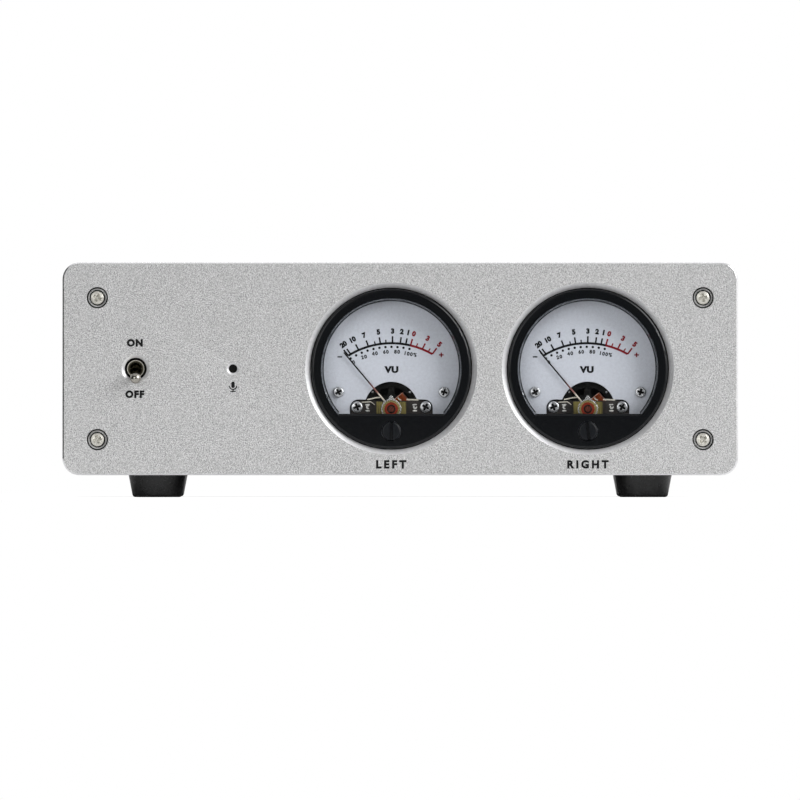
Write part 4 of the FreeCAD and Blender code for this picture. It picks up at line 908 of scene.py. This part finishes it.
bar_head = screw_head(2.05, 1.1, 0.25, cross_cut(0.42, 1.3, 0.9, 0.12), 1.0, 4.0, 28, 72)
jewel_head = screw_head(1.45, 0.35, 0.05, slot_cut(0.3, 1.6, 0.3), 1.2, 0.5, 30, 72)
ADJUSTER_UP = -22.0
bar_screws = []
for side, x in METERS.items():
    for way, turn in ((-1, 20), (1, 60)):
        bar_screws.append((facing(bar_head[0], x + way * 12.1, PIVOT + 0.7, BAR, turn), bar_head[1]))
    softened(f"{side}_bridge_bar", f"{side}_laminate_bar", 0.12, laminate)
    bracket = softened(f"{side}_bridge", f"{side}_brass_bracket", 0.1, brass)
    refinish(bracket, boss_brass, lambda normals, middles: middles[:, 1] < FRONT + 5.3)
    softened(f"{side}_zero_lever", f"{side}_zero_set_lever", 0.06, bright_aluminium)
    finish(nodes[f"{side}_yoke"], black_iron)
    finish(nodes[f"{side}_core"], black_iron)
    finish(nodes[f"{side}_hairspring"], spring_bronze)

    collar = turned(rounded([(1.2, -4.9), (2.4, -4.9), (2.4, -4.4), (1.2, -4.4)], 0.15))
    shank = turned([(0, -5.4), (0.36, -5.4), (0.36, -6.4), (1.19, -6.4), (1.19, -4.6), (0, -4.6)], 48)
    head = (jewel_head[0] + np.array([0, 0, -4.45]), jewel_head[1])
    slot_turn = -45 if side == "left" else -15
    bearing = add_piece(
        f"{side}_bearing_screw",
        *gathered([at_pivot(collar, x), at_pivot(shank, x), at_pivot(head, x, slot_turn)]),
        ringed(f"{side}_red_lacquered_copper_and_painted_shade", x, PIVOT, 3.0, JEWEL_RINGS_AND_PAINTED_SHADE, 0.6, 0.32),
        "case", "jewel_copper", [f"{side}_jewel_screw"])
    # The slot's sides and the head's rim, where it turns over, are painted near black: painted shade.
    refinish(bearing, painted_shade, lambda normals, middles: (middles[:, 1] > FRONT + 4.2) & (
        middles[:, 1] < FRONT + 4.39) & (np.abs(normals[:, 1]) > 0.3))

    needle = tapered_needle(1.0, 26.0, 0.29, 0.25, POINTER - 0.12)
    tail = tapered_needle(-1.0, -4.6, 0.29, 0.3, POINTER - 0.12)
    hub = turned(rounded([(0.52, POINTER - 0.6), (1.2, POINTER - 0.6), (1.2, POINTER), (0.52, POINTER)],
                         0.08), 48)
    weight = rod(1.35, POINTER + 0.2, 1.0, 0, -5.8)
    add_piece(
        f"{side}_needle", *gathered([at_pivot(part, x, LEAN) for part in (needle, tail, hub, weight)]),
        ringed(f"{side}_pointer_paint_and_bare_tube", x, PIVOT, 26.0, NEEDLE_RINGS, 0.0, 0.55, **DULL),
        f"{side}_pointer", "pointer_paint", [f"{side}_pointer"])

    shaft_front, shaft_back = rod(0.5, -6.55, 4.6), rod(0.4, -21.3, 2.3)
    pin = rod(0.27, -5.6, 1.0, ease=0.02)
    coil = wound_coil(7.0, 2.0, -10.6, -21.8)
    winding = add_piece(
        f"{side}_wound_coil",
        *gathered([at_pivot(part, x, LEAN) for part in (coil, shaft_front, shaft_back, pin)]),
        enamel_wire, f"{side}_pointer", "coil_copper", [f"{side}_moving_coil"])
    refinish(winding, copper_wire_highlight, lambda normals, middles: highlighted_faces(middles, x))

    rivet = rod(0.38, -11.7, 0.4, 0, 0)
    rivets = [(facing(rivet[0], x + way * 6.6, PIVOT + 6.0), rivet[1]) for way in (-1, 1)]
    add_piece(f"{side}_yoke_rivets", *gathered(rivets), zinc, "case", "yoke_iron")

    ribbon_left = swept([(-8.4, 3.35, -8.5), (-7.0, 3.6, -8.4), (-5.4, 4.0, -8.3), (-3.8, 4.1, -8.2)],
                        0.2, 0.05)
    ribbon_right = swept([(9.6, 3.2, -8.5), (7.4, 3.3, -8.4), (5.4, 3.35, -8.3)], 0.24, 0.05)
    lead = swept([(-10.4, 2.4, -8.45), (-7.2, 2.55, -8.4), (-5.8, 1.5, -8.4)], 0.14, 0.12)
    stub = swept([(2.3, 4.0, -8.3), (2.8, 3.4, -8.3), (3.5, 3.1, -8.3)], 0.2, 0.05)
    ribbons = [at_pivot(part, x) for part in (ribbon_left, ribbon_right, lead, stub)]
    add_piece(f"{side}_lead_ribbons", *gathered(ribbons), silvered, "case", "solder_lug")

    tags = []
    for way in (-1, 1):
        blob = screw_head(0.8, 0.45, 0.1, uncut, 0.7, 0.1, 12, 32)
        pad = (blob[0] * np.array([1, 0.48, 1]), blob[1])
        loop = band(0.22, 0.7, 40 * way, 40 * way + 250, thick=0.4)
        hook = flat_shape([(-0.8, -0.28), (-0.8, 0.14), (0.5, 0.26), (0.8, -0.12)], 0.35)
        for shape, right, up in ((pad, 0.0, -0.65), (loop, 0.1, 0.7), (hook, 0.0, 1.55)):
            tags.append((facing(shape[0], x + way * 8.3 + right, PIVOT + up, BAR), shape[1]))
    add_piece(f"{side}_solder_tags", *gathered(tags), solder, "case", "solder_lug")

    knob = screw_head(3.42, 2.1, 0.05, slot_cut(0.5, 3.1, 0.9), 1.8, 1.35, 36, 96)
    flange = turned([(1.79, -3.6), (2.4, -3.6), (2.4, -4.1), (0, -4.1), (0, -3.6)], 48)
    crank = rod(0.35, -4.05, 1.45, 0, 1.2)
    knob = (knob[0] + np.array([0, 0, -2.3]), knob[1])
    add_piece(f"{side}_zero_adjuster", *gathered([
        (facing(shape[0], x, ADJUSTER_UP, 0.0, 8 if side == "right" else -2), shape[1])
        for shape in (knob, flange)] + [(facing(crank[0], x, ADJUSTER_UP), crank[1])]),
        grained(f"{side}_dark_grey_acetal", "#0a0c0f", "#121519", 0.5, 0.0, 0.3, bump=0.004, **DULL),
        f"{side}_zero_screw", "adjuster_moulding", [f"{side}_zero_screw"])
bar_screw_set = add_piece("bar_screw_set", *gathered(bar_screws),
                          zinc, "case", "screw_steel", ["bridge_screws"])
refinish(bar_screw_set, painted_shade, lambda normals, middles: middles[:, 1] > FRONT - BAR - SEAT_IN_SHADE)


# ---- Case ---------------------------------------------------------------------------------
# Two folded steel sheets in fine black powder coat: a tray, which is floor, sub-front and rear
# wall in one, and a cover that closes top and sides. Screws go in low on each side.

powder = grained("fine_black_powder_coat", "#0a0a0b", "#161617", 0.6, 0.0, 0.5, bump=0.05, spread=0.1,
                 **{"Specular IOR Level": 0.35})
softened("chassis_tray", "folded_tray", 0.15, powder)
softened("top_cover", "folded_cover", 0.15, powder)
screws_low, screws_high = (np.array(corner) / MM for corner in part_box("cover_screws"))
head_radius = (screws_high[2] - screws_low[2]) / 2
SIDE_FACE = 116.0           # millimetres from the middle to the cover's outer face
cover_head = screw_head(head_radius, screws_high[0] - SIDE_FACE, 0.25, cross_cut(0.4, 1.3, 0.9, 0.15),
                        1.4, 1.5, 26, 72)
side_screws = []
for way in (-1, 1):
    for row, y in enumerate(np.linspace(screws_low[1] + head_radius, screws_high[1] - head_radius, 3)):
        turn = np.radians(15 + 35 * row)
        across = cover_head[0][:, 0] * np.cos(turn) - cover_head[0][:, 1] * np.sin(turn)
        upward = cover_head[0][:, 0] * np.sin(turn) + cover_head[0][:, 1] * np.cos(turn)
        side_screws.append((np.stack([way * (SIDE_FACE + cover_head[0][:, 2]), y + way * across,
                                      (screws_low[2] + screws_high[2]) / 2 + upward], axis=1),
                            cover_head[1]))
blackened = grained("blackened_screw", "#111112", "#262628", 0.3, 0.6, 0.35, bump=0.003)
add_piece("cover_screw_set", *gathered(side_screws), blackened, "case", "black_screw", ["cover_screws"])


# ---- Feet ---------------------------------------------------------------------------------
# Four moulded feet, tapered and half glossy. A screw in the recess under each one holds it to the
# tray's floor.

foot_moulding = grained("half_gloss_black_moulding", "#0a0a0b", "#131314", 0.7, 0.0, 0.3,
                        bump=0.004, spread=0.05)
for place in ("front_left", "rear_left", "front_right", "rear_right"):
    softened(f"foot_{place}", f"moulded_foot_{place}", 0.05, foot_moulding, angle=40.0)
finish(nodes["foot_screws"], zinc)


# ---- Sockets in the rear wall -------------------------------------------------------------
# Two phono sockets in one black moulding, nickelled barrels with a white and a red insulator,
# and a barrel socket for the supply.

socket_moulding = grained("black_socket_moulding", "#0b0b0c", "#151516", 0.5, 0.0, 0.45, bump=0.006)
finish(nodes["line_jack_block"], socket_moulding)
softened("dc_jack", "power_socket", 0.1, socket_moulding)
barrels = softened("line_jack_shells", "phono_barrels", 0.15, nickel)
barrels_low, barrels_high = (np.array(corner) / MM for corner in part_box("line_jack_shells"))
barrel_radius = (barrels_high[2] - barrels_low[2]) / 2
barrels_up = (barrels_low[2] + barrels_high[2]) / 2 - CENTRE
for word, x, colour in (("white", barrels_low[0] + barrel_radius, "#e6e6e0"),
                        ("red", barrels_high[0] - barrel_radius, "#a81a1c")):
    insulator = ringed(f"{word}_insulator_in_its_barrel", x, barrels_up, 6.0, [
        (0, colour), (3.05, colour), (3.15, "#1a1917"), (3.3, "#1a1917"), (3.4, "#cbc7bc")], 0.0, 0.35)
    refinish(barrels, insulator, lambda normals, middles: (normals[:, 1] > 0.9) & (
        middles[:, 1] > barrels_high[1] - 1) & (np.abs(middles[:, 0] - x) < barrel_radius))


# ---- Circuit board ------------------------------------------------------------------------
# A glass-laminate board with green solder mask, inside the case. Screws hold it on brass spacers
# that stand on the tray's floor.

finish(nodes["main_board"], grained("green_solder_mask", "#0c3a1c", "#13502a", 1.2, 0.0, 0.35, bump=0.01))
finish(nodes["board_capacitors"], grained("dark_blue_shrink_sleeve", "#0e1626", "#18233a", 1.0, 0.0, 0.35))
finish(nodes["board_standoffs"], nickel)
finish(nodes["board_screws"], zinc)
